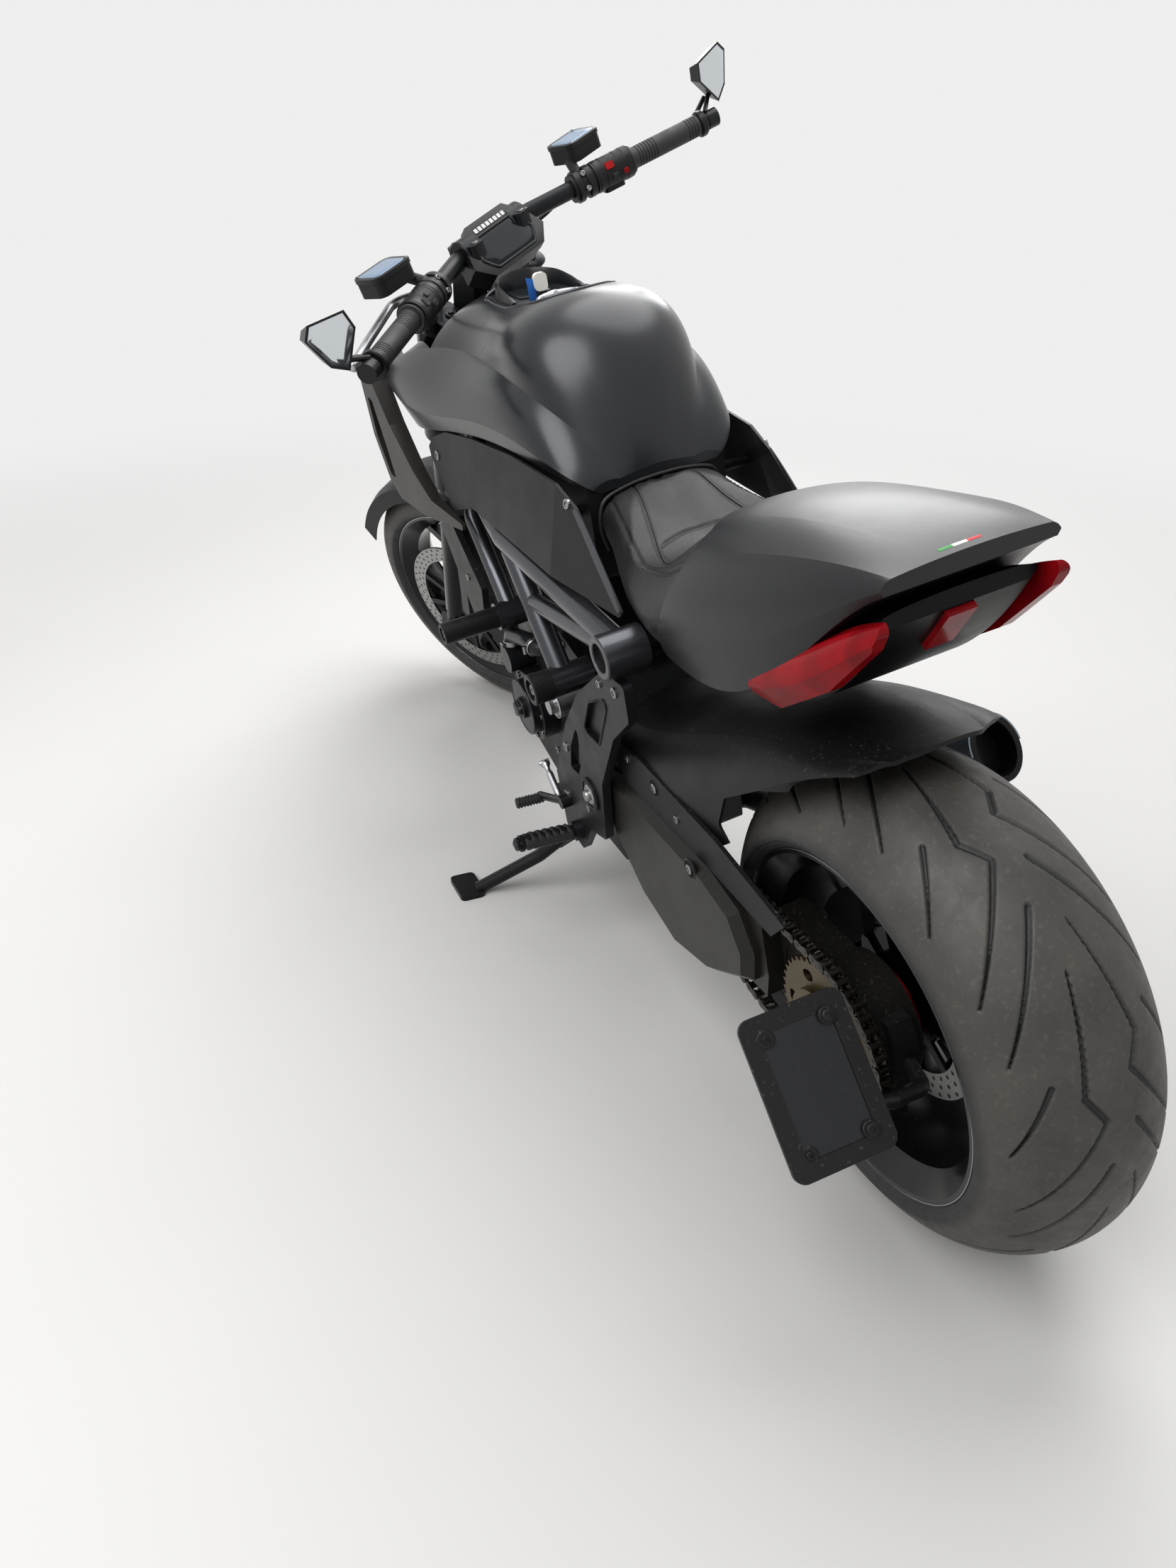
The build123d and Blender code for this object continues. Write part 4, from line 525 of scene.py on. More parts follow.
def make_tyre():
    """Vulcanised rubber: a dusty warm grey on the worn crown; near black in the grooves, which the groove_shade
    attribute marks from 0 to 1, as painted shade darker than clean rubber; and clean dark grey on the side walls."""
    tree = opened(EXTRA["tyre"])
    place = add(tree, "TexCoord", out="Object")
    groove_shade = add(tree, "Attribute", out="Fac", attribute_name="groove_shade")
    wall = add(tree, "Attribute", out="Fac", attribute_name="wall")
    clouds = add(tree, "TexNoise", {"Vector": place, "Scale": 1000 / 70, "Detail": 6.0})
    clouds = add(tree, "MapRange", {0: clouds, 1: 0.3, 2: 0.7})
    tone = add(tree, "Mix", {0: clouds, 6: linear("#2e2d2b"), 7: linear("#403d39")}, 2, data_type="RGBA")
    specks = add(tree, "TexNoise", {"Vector": place, "Scale": 1000 / 6, "Detail": 4.0})
    specks = add(tree, "MapRange", {0: specks, 1: 0.55, 2: 0.8, 3: 0.0, 4: 0.3})
    tone = add(tree, "Mix", {0: specks, 6: tone, 7: linear("#6a645a")}, 2, data_type="RGBA")
    tone = add(tree, "Mix", {0: wall, 6: tone, 7: linear("#1f1f1f")}, 2, data_type="RGBA")
    # painted shade: the grooves go near black, darker than the clean rubber of the side walls
    tone = add(tree, "Mix", {0: groove_shade, 6: tone, 7: linear("#0c0c0c")}, 2, data_type="RGBA")
    slow = add(tree, "TexNoise", {"Vector": place, "Scale": 1000 / 20, "Detail": 4.0})
    roughness = add(tree, "MapRange", {0: slow, 1: 0.3, 2: 0.7, 3: 0.5, 4: 0.66})
    skin = add(tree, "TexNoise", {"Vector": place, "Scale": 1000 / 1.6, "Detail": 4.0})
    surfaced(tree, tone, roughness, skin, 0.2)


def make_grip():
    """Soft moulded rubber: nearly no gloss, skin oil in patches."""
    tree = opened(EXTRA["grip"])
    place = add(tree, "TexCoord", out="Object")
    slow = add(tree, "TexNoise", {"Vector": place, "Scale": 1000 / 25, "Detail": 3.0})
    tone = add(tree, "Mix", {0: slow, 6: linear("#141414"), 7: linear("#1f1f1e")}, 2, data_type="RGBA")
    roughness = add(tree, "MapRange", {0: slow, 1: 0.3, 2: 0.7, 3: 0.5, 4: 0.66})
    skin = add(tree, "TexNoise", {"Vector": place, "Scale": 1000 / 0.9, "Detail": 2.0})
    surfaced(tree, tone, roughness, skin, 0.2)


def make_leather():
    """Embossed cowhide: pebbles about 2.4 mm wide, drawn a little coarser than the real 1.5 mm grain so that
    it shows, painted lighter on their tops as highlight and darker in the creases as shade, and a soft gloss
    that wanders in slow patches."""
    tree = opened(EXTRA["leather"])
    place = add(tree, "TexCoord", out="Object")
    bent = add(tree, "TexNoise", {"Vector": place, "Scale": 1000 / 6, "Detail": 2.0}, "Color")
    bent = add(tree, "VectorMath", {0: bent, 1: (0.0016, 0.0016, 0.0016)}, operation="MULTIPLY")
    bent = add(tree, "VectorMath", {0: place, 1: bent}, operation="ADD")
    pebble = add(tree, "TexVoronoi", {"Vector": bent, "Scale": 1000 / 2.4}, feature="DISTANCE_TO_EDGE")
    pebble = add(tree, "MapRange", {0: pebble, 1: 0.0, 2: 0.16})
    seam_shade = add(tree, "Attribute", out="Fac", attribute_name="seam_shade")
    # painted highlight and shade: pebble tops lighter, the creases between them darker
    tone = add(tree, "Mix", {0: pebble, 6: linear("#0e0e0f"), 7: linear("#1b1b1d")}, 2, data_type="RGBA")
    # painted shade: near black along the sunk seams and creases
    tone = add(tree, "Mix", {0: seam_shade, 6: tone, 7: linear("#0a0a0a")}, 2, data_type="RGBA")
    slow = add(tree, "TexNoise", {"Vector": place, "Scale": 1000 / 40, "Detail": 3.0})
    roughness = add(tree, "MapRange", {0: slow, 1: 0.3, 2: 0.7, 3: 0.40, 4: 0.5})
    surfaced(tree, tone, roughness, pebble, 0.2)


def make_clear(name, base, deep, rough, metallic=0.0, relief=0.0, pitch=6.0, start=9.0):
    """A moulding: two tones in slow patches, wiping marks in the gloss, and ribs of a given pitch behind
    the place where they begin along X, painted in the deeper tone along their rises as shade."""
    tree = opened(name)
    place = add(tree, "TexCoord", out="Object")
    slow = add(tree, "TexNoise", {"Vector": place, "Scale": 1000 / 60, "Detail": 3.0})
    ribs = add(tree, "TexWave", {"Vector": place, "Scale": 1000 / pitch / 20}, 1, bands_direction="X")
    behind = add(tree, "SeparateXYZ", {0: place})
    behind = add(tree, "Math", {0: behind, 1: start}, operation="LESS_THAN")
    ribs = add(tree, "Math", {0: ribs, 1: behind}, operation="MULTIPLY")
    # painted shade: the ribs are darkened towards the deeper tone as they rise
    rib_shade = add(tree, "Math", {0: ribs, 1: min(relief, 0.5)}, operation="MULTIPLY")
    tone = add(tree, "Mix", {0: slow, 6: linear(base), 7: linear(deep)}, 2, data_type="RGBA")
    tone = add(tree, "Mix", {0: rib_shade, 6: tone, 7: linear(deep)}, 2, data_type="RGBA")
    marks = add(tree, "TexNoise", {"Vector": place, "Scale": 1000 / 30, "Detail": 5.0})
    roughness = add(tree, "MapRange", {0: marks, 1: 0.3, 2: 0.7, 3: rough, 4: rough + 0.05})
    surfaced(tree, tone, roughness, ribs, relief, {"Metallic": metallic, "Specular IOR Level": 0.1}, 0.5)


def make_headlight():
    """Clear polycarbonate: thin, slightly smoky, with faint wiping marks."""
    tree = opened(EXTRA["headlight"])
    place = add(tree, "TexCoord", out="Object")
    marks = add(tree, "TexNoise", {"Vector": place, "Scale": 1000 / 30, "Detail": 5.0})
    roughness = add(tree, "MapRange", {0: marks, 1: 0.3, 2: 0.7, 3: 0.02, 4: 0.06})
    tone = add(tree, "Mix", {0: marks, 6: linear("#dfe3e6"), 7: linear("#cfd4d8")}, 2, data_type="RGBA")
    shader = add(tree, "BsdfPrincipled", {"Base Color": tone, "Roughness": roughness, "IOR": 1.45,
                                          "Transmission Weight": 0.9})
    add(tree, "OutputMaterial", {0: shader})


def make_fins():
    """Radiator core: thin black fins a few millimetres apart between flat tubes, with painted shade near black in
    the gaps, and dusty inside.
    """
    tree = opened(EXTRA["fins"])
    place = add(tree, "TexCoord", out="Object")
    tubes = add(tree, "TexWave", {"Vector": place, "Scale": 1000 / 11 / 20}, 1, bands_direction="Z")
    thin = add(tree, "TexWave", {"Vector": place, "Scale": 1000 / 2.6 / 20}, 1, bands_direction="Y")
    tubes = add(tree, "MapRange", {0: tubes, 1: 0.55, 2: 0.75})
    relief = add(tree, "Math", {0: tubes, 1: thin}, operation="MAXIMUM")
    dusty = add(tree, "TexNoise", {"Vector": place, "Scale": 1000 / 50, "Detail": 4.0})
    # painted shade: near black in the gaps between fins and tubes, lighter on their faces
    tone = add(tree, "Mix", {0: relief, 6: linear("#080808"), 7: linear("#2a2a2a")}, 2, data_type="RGBA")
    dusty = add(tree, "MapRange", {0: dusty, 1: 0.45, 2: 0.8, 3: 0.0, 4: 0.25})
    tone = add(tree, "Mix", {0: dusty, 6: tone, 7: linear("#5d584f")}, 2, data_type="RGBA")
    surfaced(tree, tone, 0.5, relief, 1.2, {"Metallic": 0.4})


def make_disc(name, body, axle, inner, outer, count):
    """Ground steel with holes painted on: in the wheel's own plane, the angle and the radius are cut into
    cells, every second row shifted by half a cell, with a near-black round in the middle of each as painted
    shade in place of a drilled hole, and fine rings from grinding."""
    tree, rows = opened(name), 3
    turn, origin = FRAMES[body]
    centre = origin + turn @ np.array(axle, float) * MM
    place = {"Vector": add(tree, "TexCoord", out="Object"), "Location": tuple(centre),
             "Rotation": Matrix(turn.tolist()).to_euler()}
    local = add(tree, "Mapping", place, vector_type="TEXTURE")
    x, z = add(tree, "SeparateXYZ", {0: local}), add(tree, "SeparateXYZ", {0: local}, 2)
    flat = add(tree, "CombineXYZ", {0: x, 1: z})
    radius = add(tree, "VectorMath", {0: flat}, "Value", operation="LENGTH")
    turns = add(tree, "Math", {0: z, 1: x}, operation="ARCTAN2")
    turns = add(tree, "Math", {0: turns, 1: count / (2 * math.pi)}, operation="MULTIPLY")
    depth = add(tree, "MapRange", {0: radius, 1: inner * MM, 2: outer * MM, 3: 0.0, 4: rows})
    shift = add(tree, "Math", {0: depth}, operation="FLOOR")
    shift = add(tree, "Math", {0: shift, 1: 0.5, 2: turns}, operation="MULTIPLY_ADD")
    around = add(tree, "Math", {0: shift}, operation="FRACT")
    inward = add(tree, "Math", {0: depth}, operation="FRACT")
    cell = add(tree, "CombineXYZ", {0: around, 1: inward, 2: 0.5})
    cell = add(tree, "VectorMath", {0: cell, 1: (0.5, 0.5, 0.5)}, operation="SUBTRACT")
    size = (math.pi * (inner + outer) / count, (outer - inner) / rows, 1)
    cell = add(tree, "VectorMath", {0: cell, 1: size}, operation="MULTIPLY")
    away = add(tree, "VectorMath", {0: cell}, "Value", operation="LENGTH")
    hole_shade = add(tree, "MapRange", {0: away, 1: 2.6, 2: 3.2, 3: 1.0, 4: 0.0})
    band = add(tree, "Math", {0: radius, 1: (inner - 1) * MM}, operation="GREATER_THAN")
    hole_shade = add(tree, "Math", {0: hole_shade, 1: band}, operation="MULTIPLY")
    rings = add(tree, "TexNoise", {"W": radius, "Scale": 900.0, "Detail": 2.0}, noise_dimensions="1D")
    tone = add(tree, "Mix", {0: rings, 6: linear("#7d7d7c"), 7: linear("#a9a9a7")}, 2, data_type="RGBA")
    tone = add(tree, "Mix", {0: band, 6: linear("#1c1c1d"), 7: tone}, 2, data_type="RGBA")
    # painted shade: each hole is a near-black round, with no opening cut in the disc
    tone = add(tree, "Mix", {0: hole_shade, 6: tone, 7: linear("#070707")}, 2, data_type="RGBA")
    roughness = add(tree, "MapRange", {0: rings, 1: 0.2, 2: 0.8, 3: 0.24, 4: 0.4})
    solid = add(tree, "Math", {0: 1.0, 1: hole_shade}, operation="SUBTRACT")
    surfaced(tree, tone, roughness, solid, 0.4, {"Metallic": 0.95})


def make_floor():
    """Pale studio floor with slow cloudy tone. Far from the machine it fades to the backdrop's white
    for the camera, reflections and glass."""
    tree = opened(EXTRA["floor"])
    place = add(tree, "TexCoord", out="Object")
    slow = add(tree, "TexNoise", {"Vector": place, "Scale": 1000 / 700, "Detail": 3.0})
    tone = add(tree, "Mix", {0: slow, 6: linear("#cfcecc"), 7: linear("#c9c8c6")}, 2, data_type="RGBA")
    cloth = add(tree, "BsdfPrincipled", {"Base Color": tone, "Roughness": 0.6})
    light = add(tree, "Emission", {"Color": (1, 1, 1, 1), "Strength": WHITE})
    away = add(tree, "VectorMath", {0: place}, "Value", operation="LENGTH")
    away = add(tree, "MapRange", {0: away, 1: 1.3, 2: 4.0}, interpolation_type="SMOOTHSTEP")
    add(tree, "OutputMaterial", {0: add(tree, "MixShader", {0: seen_by_eye(tree, away), 1: cloth, 2: light})})


def seen_by_eye(tree, share):
    """A share that counts only for the camera, for reflections and for what glass shows."""
    rays = [add(tree, "LightPath", out=kind)
            for kind in ("Is Camera Ray", "Is Glossy Ray", "Is Transmission Ray")]
    seen = add(tree, "Math", {0: rays[0], 1: rays[1]}, operation="MAXIMUM")
    seen = add(tree, "Math", {0: seen, 1: rays[2]}, operation="MAXIMUM")
    return add(tree, "Math", {0: seen, 1: share}, operation="MULTIPLY")


class CRUISER_PG_finish(bpy.types.PropertyGroup):
    """Levels of the finishes that a user would change."""
    dust: bpy.props.FloatProperty(name="Dust", description="Share of the dust that lies on upward faces",
                                  default=1.0, min=0.0, max=2.0, subtype="FACTOR")
    stripe: bpy.props.FloatProperty(name="Stripe width", description="Width of the cowl's three-colour bar",
                                    default=4.2 * MM, min=1 * MM, max=20 * MM, unit="LENGTH")


class CRUISER_PG_sizes(bpy.types.PropertyGroup):
    """Sizes of the fittings."""
    tread_depth: bpy.props.FloatProperty(name="Tread depth", description="Depth of the tyre grooves",
                                         default=4.5 * MM, min=0.0, max=8 * MM, unit="LENGTH")
    link_pitch: bpy.props.FloatProperty(name="Chain pitch", description="Distance between the chain's pins",
                                        default=15.875 * MM, min=8 * MM, max=25 * MM, unit="LENGTH")
    stitch: bpy.props.FloatProperty(name="Stitch length", description="Length of one stitch on the seat",
                                    default=4.5 * MM, min=2 * MM, max=10 * MM, unit="LENGTH")
    welt: bpy.props.FloatProperty(name="Welt thickness", description="Thickness of the seat's sewn welts",
                                  default=4.6 * MM, min=1 * MM, max=8 * MM, unit="LENGTH")
    rib: bpy.props.FloatProperty(name="Grip rib pitch", description="Distance between the ribs of the grips",
                                 default=5 * MM, min=2 * MM, max=12 * MM, unit="LENGTH")


class CRUISER_OT_finishes(bpy.types.Operator):
    """Make every material and dress the frame's own pieces in them"""
    bl_idname = "cruiser.finishes"
    bl_label = "Finishes"

    def execute(self, context):
        dust = context.scene.cruiser_finish.dust
        by_slot = {}
        for name, slot, *recipe, lying in SURFACES:
            make_surface(name, *recipe, lying * dust)
            by_slot[slot] = name
        for key, *recipe in CLEARS:
            make_clear(EXTRA[key], *recipe)
        for make in (make_tyre, make_grip, make_leather, make_headlight, make_fins, make_floor):
            make()
        make_disc(EXTRA["disc"], "front_wheel", FRONT_AXLE, *FRONT_BAND, 44)
        make_disc(EXTRA["rear_disc"], "rear_wheel", REAR_AXLE, *REAR_BAND, 36)
        by_slot.update(tyre_rubber=EXTRA["tyre"], grip_rubber=EXTRA["grip"], seat_leather=EXTRA["leather"],
                       red_lens=EXTRA["lens"], lamp_glass="Aluminium mirror body, black",
                       disc_steel=EXTRA["disc"], radiator_core=MOULDING[0])
        own = {"rear_disc": EXTRA["rear_disc"], "undertail": EXTRA["carrier"]}
        for part in frame["record"]["subparts"]:
            node = NODES[part["node"]]
            chosen = bpy.data.materials[own.get(part["node"], by_slot[part["material_slot"]])]
            if not node.material_slots:
                node.data.materials.append(chosen)
            for slot in node.material_slots:
                slot.material = chosen
        return {"FINISHED"}


# Tyres. A groove's line: share of the pattern's pitch and distance from the middle at both ends, then its
# width at both ends in millimetres
REAR_GROOVES = ((0.000, 14.0, 0.443, 37.7, 2.0, 6.4), (0.443, 37.7, 0.553, 19.0, 6.4, 6.4),
                (0.553, 19.0, 1.015, 106.6, 6.4, 2.6), (-0.245, 16.2, 0.264, 100.9, 6.4, 2.6),
                (0.372, 67.1, 0.680, 117.4, 6.0, 2.6))
FRONT_GROOVES = ((0.00, 7.0, 0.44, 18.0, 1.6, 5.0), (0.44, 18.0, 0.55, 10.0, 5.0, 5.0),
                 (0.55, 10.0, 1.00, 50.0, 5.0, 2.2), (-0.24, 8.0, 0.26, 46.0, 5.0, 2.2))
# A side wall's steps, those that stand out as rings, and a place that no groove reaches
WALL_STEPS, WALL_RINGS, OFF_CROWN = 14, (3, 8, 11), 1e4


def groove_field(along, side, pitch, lines):
    """Depth from 0 to 1 of the grooves at each place: the distance to the nearest line of the pattern,
    which repeats along the tyre, set against that line's half width."""
    depth = np.zeros(np.broadcast(along, side).shape)
    for start, low, end, high, wide, narrow in lines:
        run = np.array([(end - start) * pitch, high - low])
        for step in (-1, 0, 1):
            x = np.mod(along, pitch) - (start + step) * pitch
            y = side - low
            share = np.clip((x * run[0] + y * run[1]) / (run @ run), 0, 1)
            away = np.hypot(x - share * run[0], y - share * run[1])
            half = (wide + (narrow - wide) * share) / 2
            depth = np.maximum(depth, np.clip((half - away) / 1.2 + 0.5, 0, 1))
    return depth


def tyre_half(side, radius, crown, half, rim_half, grooves, pitches, phase, count, across, depth):
    """One side of a tyre, closed on the mid-plane: the crown is an arc from the middle to the shoulder,
    the wall runs on to the bead with three raised rings, and the grooves press the crown in along its
    normal. The pattern starts at the phase and repeats round the tyre."""
    reach = math.asin(half / crown)
    angle = np.linspace(0, reach, across)
    normal = np.stack([np.cos(angle), np.sin(angle)], axis=-1)
    arc = normal * crown + (radius - crown, 0)
    share = np.linspace(0, 1, WALL_STEPS + 1)[1:, None]
    wall = arc[-1] * (1 - share) + np.array([BEAD_R, rim_half]) * share
    rings = np.isin(np.arange(1, WALL_STEPS + 1), WALL_RINGS).astype(float)[:, None]
    wall = wall + np.array([0, 1]) * (np.sin(share * np.pi) * 1.4 + rings * 0.7)
    inside = np.array([[BEAD_R, rim_half - 8], [240, 0]])
    profile = np.concatenate([arc, wall, inside])
    normals = np.concatenate([normal, np.zeros((len(wall) + 2, 2))])
    spin = np.linspace(0, 2 * np.pi, count, endpoint=False)[:, None]
    place = np.concatenate([angle * crown, np.full(len(wall) + 2, OFF_CROWN)])[None]
    field = groove_field((spin - math.radians(phase)) * radius, place, 2 * np.pi * radius / pitches, grooves)
    field = field * (place < reach * crown * 0.94)
    pressed = profile[None] - normals[None] * (field * depth)[..., None]
    points = np.stack([pressed[..., 0] * np.cos(spin), pressed[..., 1] * side + 0 * spin,
                       pressed[..., 0] * np.sin(spin)], axis=-1)
    mark = np.broadcast_to(np.clip((place / (reach * crown) - 0.9) / 0.1, 0, 1), field.shape)
    # the field also marks the grooves for their painted shade
    return points, grid_faces(count, len(profile), around=True, along=True), field, mark


class CRUISER_OT_tyres(bpy.types.Operator):
    """Grooved tyres on both wheels"""
    bl_idname = "cruiser.tyres"
    bl_label = "Tyres"

    def execute(self, context):
        depth = context.scene.cruiser_sizes.tread_depth / MM
        rear = (REAR_AXLE[2], 130, 120, REAR_RIM_HALF, REAR_GROOVES, 7)
        front = (FRONT_AXLE[2], 60, 60, FRONT_RIM_HALF, FRONT_GROOVES, 8)
        rows = (("rear_tread_left", "rear_wheel", "rear_tyre", REAR_AXLE, 1, rear, 136.8, 940, 88),
                ("rear_tread_right", "rear_wheel", "rear_tyre", REAR_AXLE, -1, rear, 128.64, 940, 88),
                ("front_tread_left", "front_wheel", "front_tyre", FRONT_AXLE, 1, front, 20.0, 700, 44),
                ("front_tread_right", "front_wheel", "front_tyre", FRONT_AXLE, -1, front, 42.0, 700, 44))
        for name, body, node, axle, side, sizes, phase, count, across in rows:
            points, faces, groove_shade, wall = tyre_half(side, *sizes, phase, count, across, depth)
            # the groove_shade attribute carries the painted shade of the grooves
            tyre = piece(name, body, (points + axle, faces), EXTRA["tyre"], "tyre_rubber", sharp=60,
                         values={"groove_shade": groove_shade, "wall": wall})
            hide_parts(node)
        return {"FINISHED"}


class CRUISER_OT_wheel_trim(bpy.types.Operator):
    """Bright rim lips, valve stems, and the screws of discs and hub"""
    bl_idname = "cruiser.wheel_trim"
    bl_label = "Wheel trim"

    def execute(self, context):
        for name, body, axle, half in (("rear_lips", "rear_wheel", REAR_AXLE, REAR_RIM_HALF),
                                       ("front_lips", "front_wheel", FRONT_AXLE, FRONT_RIM_HALF)):
            profile = [(226.4, half - 0.4), (228.2, half - 0.4), (228.0, half + 0.9), (226.8, half + 0.9)]
            points, faces = closed_ring(profile, 220)
            piece(name, body, mirrored((points + axle, faces)), EXTRA["lip"], "bare_alloy")
            stem = lathe([(0, 0), (3.2, 0), (3.2, 18), (4.2, 18), (4.2, 30), (3.4, 32), (0, 32)],
                         np.array(axle) + (200, -20, 0), (-1, 0, 0), 14)
            piece(name.replace("lips", "valve"), body, stem, *NYLON)
        front = [ringed_screws(FRONT_AXLE, 42, 71 * side, side, 6, 5.5) for side in (-1, 1)]
        piece("front_disc_screws", "front_wheel", joined(front), *STEEL)
        rear = ringed_screws(REAR_AXLE, 46, -62, -1, 5, 6.5)
        piece("rear_hub_screws", "rear_wheel", rear, *STEEL)
        return {"FINISHED"}


def ringed_screws(centre, ring, y, side, count, radius):
    """Screw heads evenly round a ring square to the axle, facing one side."""
    angle = np.arange(count) * 2 * np.pi / count + 0.3
    places = np.stack([centre[0] + ring * np.cos(angle), np.full(count, float(y)),
                       centre[2] + ring * np.sin(angle)], axis=-1)
    return repeated(socket_screw(radius, 3.5), facing(np.tile([0.0, side, 0.0], (count, 1))), places)


def socket_screw(radius, height):
    """A screw head turned about its own axis: a chamfered rim round a flat-bottomed recess."""
    profile = [(0, height * 0.3), (radius * 0.5, height * 0.3), (radius * 0.54, height),
               (radius * 0.84, height), (radius, height * 0.78), (radius, -1.0), (0, -1.0)]
    return lathe(profile, (0, 0, 0), (0, 0, 1), 18)


def chain_places(pitch):
    """Pins along the closed chain: the loop is two straight runs and two arcs round the sprockets, and
    the pins lie at even steps of its length, as near to the pitch as a whole number allows."""
    rear, drive = np.array(REAR_AXLE, float)[[0, 2]], np.array(DRIVE_SPROCKET, float)[[0, 2]]
    gap = drive - rear
    span = np.hypot(*gap)
    tilt = math.atan2(gap[1], gap[0])
    split = math.asin((REAR_PITCH_R - DRIVE_PITCH_R) / span)
    run = span * math.cos(split)
    front_arc, rear_arc = DRIVE_PITCH_R * (math.pi - 2 * split), REAR_PITCH_R * (math.pi + 2 * split)
    total = 2 * run + front_arc + rear_arc
    count = int(round(total / pitch / 2)) * 2
    place = (np.arange(count) * total / count)[:, None]
    points, begin = rear, 0.0
    for centre, radius, other, grip, angle, arc in (
            (rear, REAR_PITCH_R, drive, DRIVE_PITCH_R, tilt + math.pi / 2 - split, front_arc),
            (drive, DRIVE_PITCH_R, rear, REAR_PITCH_R, tilt - math.pi / 2 + split, rear_arc)):
        square = np.array([math.cos(angle), math.sin(angle)])
        share = np.clip((place - begin) / run, 0, 1)
        straight = (centre + radius * square) * (1 - share) + (other + grip * square) * share
        spin = angle - (place - begin - run) / grip
        curved = other + grip * np.concatenate([np.cos(spin), np.sin(spin)], axis=1)
        points = np.where(place >= begin, np.where(place > begin + run, curved, straight), points)
        begin += run + arc
    return points


def link_plate(pitch, radius, waist, thick, y):
    """A chain plate: a strip whose half height follows the two pin circles and the waist between them."""
    station = np.linspace(-pitch / 2 - radius, pitch / 2 + radius, 13)
    away = np.minimum(np.abs(station - pitch / 2), np.abs(station + pitch / 2))
    height = np.maximum(np.sqrt(np.maximum(radius ** 2 - away ** 2, 0.0)),
                        np.where(np.abs(station) < pitch / 2, waist, 0.4))
    corners = np.array([(y, -1), (y + thick, -1), (y + thick, 1), (y, 1)], float)
    points = np.stack([np.repeat(station[:, None], 4, 1), np.broadcast_to(corners[:, 0], (13, 4)),
                       height[:, None] * corners[None, :, 1]], axis=-1)
    return capped(points, grid_faces(13, 4, around=True))


def short_bar(radius, y0, y1, count=10):
    """A short round bar along the axle's direction, with closed ends."""
    return turned([(0, y0), (radius, y0), (radius, y1), (0, y1)], count)


class CRUISER_OT_chain(bpy.types.Operator):
    """The drive chain, link by link"""
    bl_idname = "cruiser.chain"
    bl_label = "Chain"

    def execute(self, context):
        pins = chain_places(context.scene.cruiser_sizes.link_pitch / MM)
        after = np.roll(pins, -1, axis=0)
        run = unit(after - pins)
        middle = (pins + after) / 2
        turns = np.zeros((len(run), 3, 3))
        turns[:, 0, 0] = turns[:, 2, 2] = run[:, 0]
        turns[:, 2, 0], turns[:, 0, 2], turns[:, 1, 1] = run[:, 1], -run[:, 1], 1
        centres, joints = (np.insert(one, 1, CHAIN_Y, axis=1) for one in (middle, pins))
        pitch = float(np.linalg.norm(after - pins, axis=1).mean())
        outer = joined([link_plate(pitch, 7.2, 5.6, 1.8, y) for y in (6.6, -8.4)])
        inner = joined([link_plate(pitch, 7.2, 5.2, 1.8, y) for y in (4.5, -6.3)])
        pin = joined([short_bar(2.6, -8.9, 8.9, 8), short_bar(5.0, -4.4, 4.4, 10)])
        links = joined([repeated(outer, turns[::2], centres[::2]),
                        repeated(inner, turns[1::2], centres[1::2]), repeated(pin, turns, joints)])
        chain = piece("chain_links", "chassis", links, "Chain steel, plated", "chain_steel")
        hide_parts("chain")
        return {"FINISHED"}


# Screws sent onto the left side of a piece, and the same on the right: x and z of each, and its radius
SIDE_SCREWS = (
    ("side_panels", ((1045, 799, 8), (566, 838, 7))),
    ("side_plates", ((700, 300, 9), (656, 418, 8), (405, 632, 8), (458, 622, 6), (600, 330, 6),
                     (700, 226, 7))),
    ("radiator_covers", ((1180, 640, 6), (1080, 560, 6))),
    ("cylinders", ((1010, 560, 7), (770, 560, 7), (720, 600, 7))),
)
LEFT_SCREWS = (
    ("crankcase", ((652, 268, 6), (640, 400, 6), (700, 490, 7), (790, 522, 7), (905, 500, 7), (998, 320, 6),
                   (930, 242, 7), (860, 246, 7), (780, 252, 7), (720, 262, 7))),
    ("hugger", ((480, 475, 6), (330, 455, 6))),
)
RIGHT_SCREWS = (
    ("crankcase", ((652, 268, 6), (640, 400, 6), (700, 490, 7), (905, 500, 7), (998, 320, 6),
                   (930, 242, 7))),
)
# Round covers: x, z, the ring and half width of their screws, how many, and the screws' radius
COVER_SCREWS = ((945, 345, 59, 152, 9, 4.5), (772, 430, 19, 160, 5, 3.5), (840, 420, 24, 140, 4, 4))
RIGHT_COVER_SCREWS = ((800, 390, 79, 158, 11, 4.8),)
# Softened edges of round parts: x, z, radius and half width, negative on the right
COVER_EDGES = ((945, 345, 66, 152), (945, 345, 52, 166), (945, 345, 20, 172), (840, 420, 30, 140),
               (800, 390, 88, -158), (800, 390, 66, -170))
# Hollow tube ends of the frame: x, z, radius and half width
TUBE_ENDS = ((405, 688, 30, 196), (684, 520, 25, 214), (950, 530, 19, 270))
# Bolt wells on the guard and the arm, and the corners of the heel plates' recess: x and z
ARM_WELLS = (("hugger", 394, 471), ("swingarm", 277, 410))
POCKET = ((430, 612), (515, 566), (556, 500), (500, 500))
# The number plate's middle and directions, the clutch line's corners, and the ends of the gear rod, of
# the stand's leg and of a footpeg
PLATE_CENTRE, PLATE_ACROSS, PLATE_UP = (-131, 237, 418), (0.1, 0.99, -0.05), (0.6500, -0.0323, 0.7593)
SLAVE_LINE = ((772, 152, 450), (772, 152, 520), (800, 136, 600), (806, 136, 692))
GEAR_ROD = ((818, 184, 300), (744, 190, 262))
STAND = ((765, 152, 188), (850, 357, 67.5))
PEG = ((669, 204, 248), (664, 308, 269))


